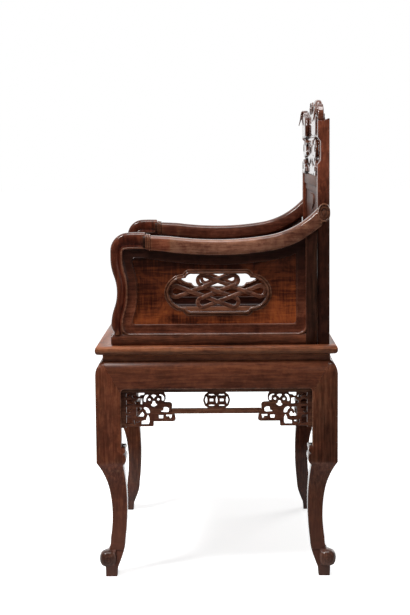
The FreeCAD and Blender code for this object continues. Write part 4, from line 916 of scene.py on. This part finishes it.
def back_relief():
    """Carved clouds and scrolls that stand before the crest and the openwork."""
    carved = wood("back", "x")
    for way in (1, -1):
        mark = "_near" if way > 0 else "_far"

        def put(name, shape, soften=0.0):
            place_piece(name + mark, shape, carved, way=way, soften=soften)

        def cloud(points, front):
            return plate(smooth_loop(millimetres(points)), front, CLOUD_REAR)

        def curl(x, z, outer, inner, start, turns, wide, high, front):
            return ridge(spiral((x, z), outer, inner, start, turns), wide, high, front)

        put("crest_cloud", cloud(CLOUD, 0.2080), 0.0044)
        put("crest_curl_b", curl(0.279, 0.971, 0.0088, 0.0018, 230, -1.5, 0.0034, 0.0016, 0.2080))
        tendril = [tuple(value / 1000 for value in point) for point in TENDRIL]
        put("crest_tendril", horn(tendril, 0.0031, 0.0008))
        put("cloud_upper", cloud(UPPER, 0.2100), soften=0.0036)
        put("cloud_lower", cloud(LOWER, 0.2090), soften=0.0040)
        put("cloud_scroll_a", curl(0.208, 0.894, 0.0090, 0.0020, 100, -1.5, 0.0030, 0.0008, 0.2100))
        put("cloud_scroll_c", curl(0.222, 0.852, 0.0080, 0.0020, 120, -1.4, 0.0028, 0.0008, 0.2090))
        put("cloud_leaf", ridge(smooth_open(millimetres(LEAF)), 0.0080, 0.0066, BACK_FACE, 0.3))
        put("cloud_tail", ridge(smooth_open(millimetres(TAIL)), 0.0080, 0.0060, BACK_FACE, 0.3))
    for name, points, steps, soften in (("cloud_plaque", PLAQUE, 5, 0.0030),
                                        ("cloud_apron", APRON, 4, 0.0026)):
        half = millimetres(points)
        outline = half + [(-x, z) for x, z in reversed(half) if x > 0]
        place_piece(name, plate(smooth_loop(outline, steps), PLAQUE_FACE, PLAQUE_REAR), carved,
                    soften=soften)
    for way in (1, -1):
        path = spiral((way * 0.040, 0.895), 0.0150, 0.0030, 90, -way * 1.6)
        place_piece("cloud_plaque_curl_%d" % (way + 1), ridge(path, 0.0050, 0.0018, PLAQUE_FACE), carved)


def stile_caps(side, way):
    """Moulded cap on the top of a stile."""
    profile = ((0.2110, 0.9505), (0.2350, 0.9505), (0.2350, 0.9540), (0.2335, 0.9552), (0.2310, 0.9545),
               (0.2285, 0.9528), (0.2130, 0.9522))
    shape = prism(*[[(x, y, z) for y, z in profile] for x in (0.2625, 0.2998)])
    place_piece("stile_cap_" + side, shape, wood("arm", "x"), way=way, soften=0.0005)


# Feet and the rolled edge under the aprons
CORNERS = (("front_left", 1, -1, "leg"), ("front_right", -1, -1, "leg_far_shaded"), ("rear_left", 1, 1, "leg_rear"),
           ("rear_right", -1, 1, "leg_far_shaded"))
BALL_CENTRE, BALL_RADIUS, BALL_POWER = Vector((0.2998, 0.2308, 0.0388)), 0.0177, 2.6
BLEND_ROWS = ((0.074, 0.2646, 0.2939), (0.068, 0.2645, 0.2950), (0.061, 0.2652, 0.2966),
              (0.054, 0.2665, 0.2982), (0.045, 0.2694, 0.3005), (0.035, 0.2731, 0.3030),
              (0.027, 0.2762, 0.3048), (0.021, 0.2786, 0.3055), (0.014, 0.2806, 0.3045))
BLEND_CORNER, FOOT_SHIFT = 0.0016, 0.069
HALF_WIDTH, HALF_DEPTH, LEG_SQUARE, APRON_BOTTOM = 0.320, 0.251, 0.051, 0.4025


def at_feet(start, places, faces, kind=None):
    """The same piece at all four feet, mirrored from the near rear one."""
    for name, sx, sy, own in CORNERS:
        vertices = [(sx * x, sy * y, z) for x, y, z in places]
        place_piece(start + name, (vertices, faces), wood(kind or own, "z"))


def foot_dent(u, v):
    """Depth of the spiral groove on the ball, seen along one of its faces."""
    radius = math.hypot(u, v)
    turn = math.atan2(v, u) / (2 * math.pi)
    phase = (radius / 0.0058 - turn) % 1.0
    groove = math.exp(-((phase - 0.5) / 0.17) ** 2)
    return 0.0013 * groove * max(0.0, 1.0 - (radius / 0.0155) ** 6)


def foot_balls():
    """Carved ball of each scroll foot."""
    rows, columns = 36, 56
    places = []
    for i in range(rows + 1):
        tilt = math.pi * i / rows
        for j in range(columns):
            turn = 2 * math.pi * j / columns
            n = Vector((math.sin(tilt) * math.cos(turn), math.sin(tilt) * math.sin(turn), math.cos(tilt)))
            out = BALL_RADIUS / sum(abs(c) ** BALL_POWER for c in n) ** (1 / BALL_POWER)
            if n.x > abs(n.y) * 0.8:
                out -= foot_dent(n.y * out, n.z * out)
            elif n.y > 0:
                out -= foot_dent(-n.x * out, n.z * out)
            places.append(BALL_CENTRE + n * out)
    at_feet("foot_ball_", places, skin(rows + 1, columns, caps=False), "foot")


def foot_blends():
    """Smooth turn from the leg to the stem of its foot, behind the carved ball."""
    places = []
    for z, inner, outer in BLEND_ROWS:
        middle, half = (inner + outer) / 2, (outer - inner) / 2 - BLEND_CORNER
        for turn, u, v in ((0, 1, 1), (90, -1, 1), (180, -1, -1), (270, 1, -1)):
            arc = arc_points((half * u, half * v), BLEND_CORNER, turn, turn + 90, 5)
            places += [(middle + across, middle - FOOT_SHIFT + along, z) for across, along in arc]
    at_feet("foot_blend_", places, skin(len(BLEND_ROWS), len(places) // len(BLEND_ROWS)))


def edge_rolls():
    """Rolled edge round the opening under each apron, from knee to knee."""
    section = oval(0.0048, 0.0044, 12)
    low, high, corner, sink = 0.2800, APRON_BOTTOM + 0.0004, 0.009, 0.0023
    for pair, face, inner in ((("left", "right"), HALF_WIDTH, HALF_DEPTH),
                              (("rear", "front"), HALF_DEPTH, HALF_WIDTH)):
        side = inner - LEG_SQUARE + 0.0004
        half = [(side, low)] + arc_points((side - corner, high - corner), corner, 0.0, 90.0, 11)
        path = half + [(-u, z) for u, z in reversed(half)]
        vertices, faces = sweep(path, section, face - sink)
        for piece, way in zip(pair, (1, -1)):
            turned = [(way * x, y, z) if "left" in pair else (y, way * x, z) for x, y, z in vertices]
            place_piece("edge_roll_" + piece, (turned, faces), wood("bead", "x"))


# Fret openwork, with points (distance from the leg, drop below the strip) in millimetres
FRET_OUTLINE = ((0, 0), (0, 74.5), (11.5, 74.5), (11.5, 71.5), (67, 71.5), (68.5, 70), (68.5, 61), (109, 61),
                (112.5, 60), (114.5, 57), (113, 47.5), (107.5, 44.5), (107, 35), (107.5, 26), (105, 22.5),
                (101, 21.5), (90.5, 21), (94, 15), (94, 8), (90.5, 0))
ROUND_HOLES = (
    ((90, 18), (91, 11), (88, 6), (82, 4), (80, 7), (85, 9), (86, 13), (86, 18)),
    ((82, 14), (78, 12), (76, 15), (77, 18), (80, 18)),
    ((75, 8), (72, 5), (66, 5), (64, 8), (67, 11), (69, 14), (71, 11)),
    ((60, 13), (57, 14), (58, 18), (61, 19), (63, 16), (62, 13)),
    ((59, 6), (54, 5), (50, 9), (48, 18), (50, 21), (53, 20), (53, 15), (55, 11)),
    ((70, 18), (67, 19), (66, 24), (63, 26), (65, 30), (70, 31), (75, 28), (76, 25), (73, 23), (72, 19)),
    ((32, 7), (25, 6), (25, 11), (28, 13), (32, 11)),
    ((61, 43), (59, 35), (53, 31), (49, 32), (48, 35), (52, 39), (54, 44), (58, 45)))
SQUARE_HOLES = (
    ((51, 1), (34, 1), (35, 9), (39, 10), (41, 7), (48, 6)),
    ((45, 13), (38, 12), (35, 16), (30, 19), (31, 25), (45, 26)),
    ((21, 2), (12, 2), (12, 11), (16, 10), (17, 7), (21, 7)),
    ((23, 16), (18, 14), (12, 16), (12, 26), (25, 26), (26, 20)),
    ((44, 32), (34, 31), (33, 50), (36, 52), (47, 52), (49, 46), (46, 41), (44, 42), (42, 45), (39, 46),
     (38, 42), (40, 38), (44, 36)),
    ((57, 47), (54, 53), (53, 58), (49, 59), (44, 60), (43, 68), (58, 68), (60, 63), (60, 53)),
    ((39, 60), (28, 58), (28, 67), (30, 67), (32, 62), (34, 64), (39, 63)),
    ((24, 31), (12, 30), (12, 44), (17, 45), (20, 41), (18, 36), (24, 36)),
    ((23, 49), (12, 48), (12, 66), (24, 66)),
    ((100, 42), (101, 34), (97, 31), (90, 31), (89, 38), (85, 39), (84, 42), (96, 43)),
    ((107, 47), (95, 47), (94, 51), (98, 52), (101, 51), (102, 55), (105, 56)),
    ((89, 48), (79, 48), (80, 56), (88, 56)))
FRET_FACE, FRET_TOP, FRET_THICK, FRET_SOFT = 0.011, APRON_BOTTOM - 0.010, 0.010, 0.0005


def pierced(outline, holes, thick, soft):
    """Plate with holes and softened edges, half its thickness on either side of the plane of its outlines."""
    curve = bpy.data.curves.new("outline", "CURVE")
    curve.dimensions, curve.fill_mode = "2D", "BOTH"
    curve.extrude, curve.bevel_depth, curve.bevel_resolution, curve.offset = thick / 2 - soft, soft, 1, -soft
    for points in (outline, *holes):
        line = curve.splines.new("POLY")
        line.points.add(len(points) - 1)
        for point, (u, v) in zip(line.points, points):
            point.co = (u, v, 0.0, 1.0)
        line.use_cyclic_u = True
    shape = bpy.data.objects.new("outline", curve)
    mesh = bpy.data.meshes.new_from_object(shape)
    vertices = [tuple(vertex.co) for vertex in mesh.vertices]
    faces = [tuple(face.vertices) for face in mesh.polygons]
    bpy.data.objects.remove(shape)
    bpy.data.curves.remove(curve)
    bpy.data.meshes.remove(mesh)
    return vertices, faces


def fret_openwork():
    """Finer openwork in place of each spandrel's plate."""
    holes = [smooth_loop(millimetres(points), 2) for points in ROUND_HOLES]
    holes += [millimetres(points) for points in SQUARE_HOLES]
    vertices, faces = pierced(millimetres(FRET_OUTLINE), holes, FRET_THICK, FRET_SOFT)
    for side in ("left", "right", "front", "rear"):
        across = side in ("left", "right")
        reach, run = (HALF_WIDTH, HALF_DEPTH) if across else (HALF_DEPTH, HALF_WIDTH)
        for letter in "ab":
            name = "fret_spandrel_%s_%s" % (letter, side)
            low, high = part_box(name)
            sx, sy = (math.copysign(1, low[k] + high[k]) for k in (0, 1))
            moved = []
            for u, v, d in vertices:
                out, along = reach - FRET_FACE - FRET_THICK / 2 + d, run - LEG_SQUARE - u
                x, y = (out, along) if across else (along, out)
                moved.append((sx * x, sy * y, FRET_TOP - v))
            place_piece("pierced_" + name, (moved, faces), wood("fret", "y"), (name,), smooth=False)


make_camera()
make_world()
make_stage()
make_lights()
dress_nodes()
for build in (arm_post, arm_rails, rail_necks, bottom_rail, arm_beads, cartouche_lips, arm_knots, stile_caps):
    build("left", 1)
    build("right", -1)
for build in (crest_board, back_relief, foot_balls, foot_blends, edge_rolls, fret_openwork):
    build()

scene.view_settings.view_transform = "Standard"
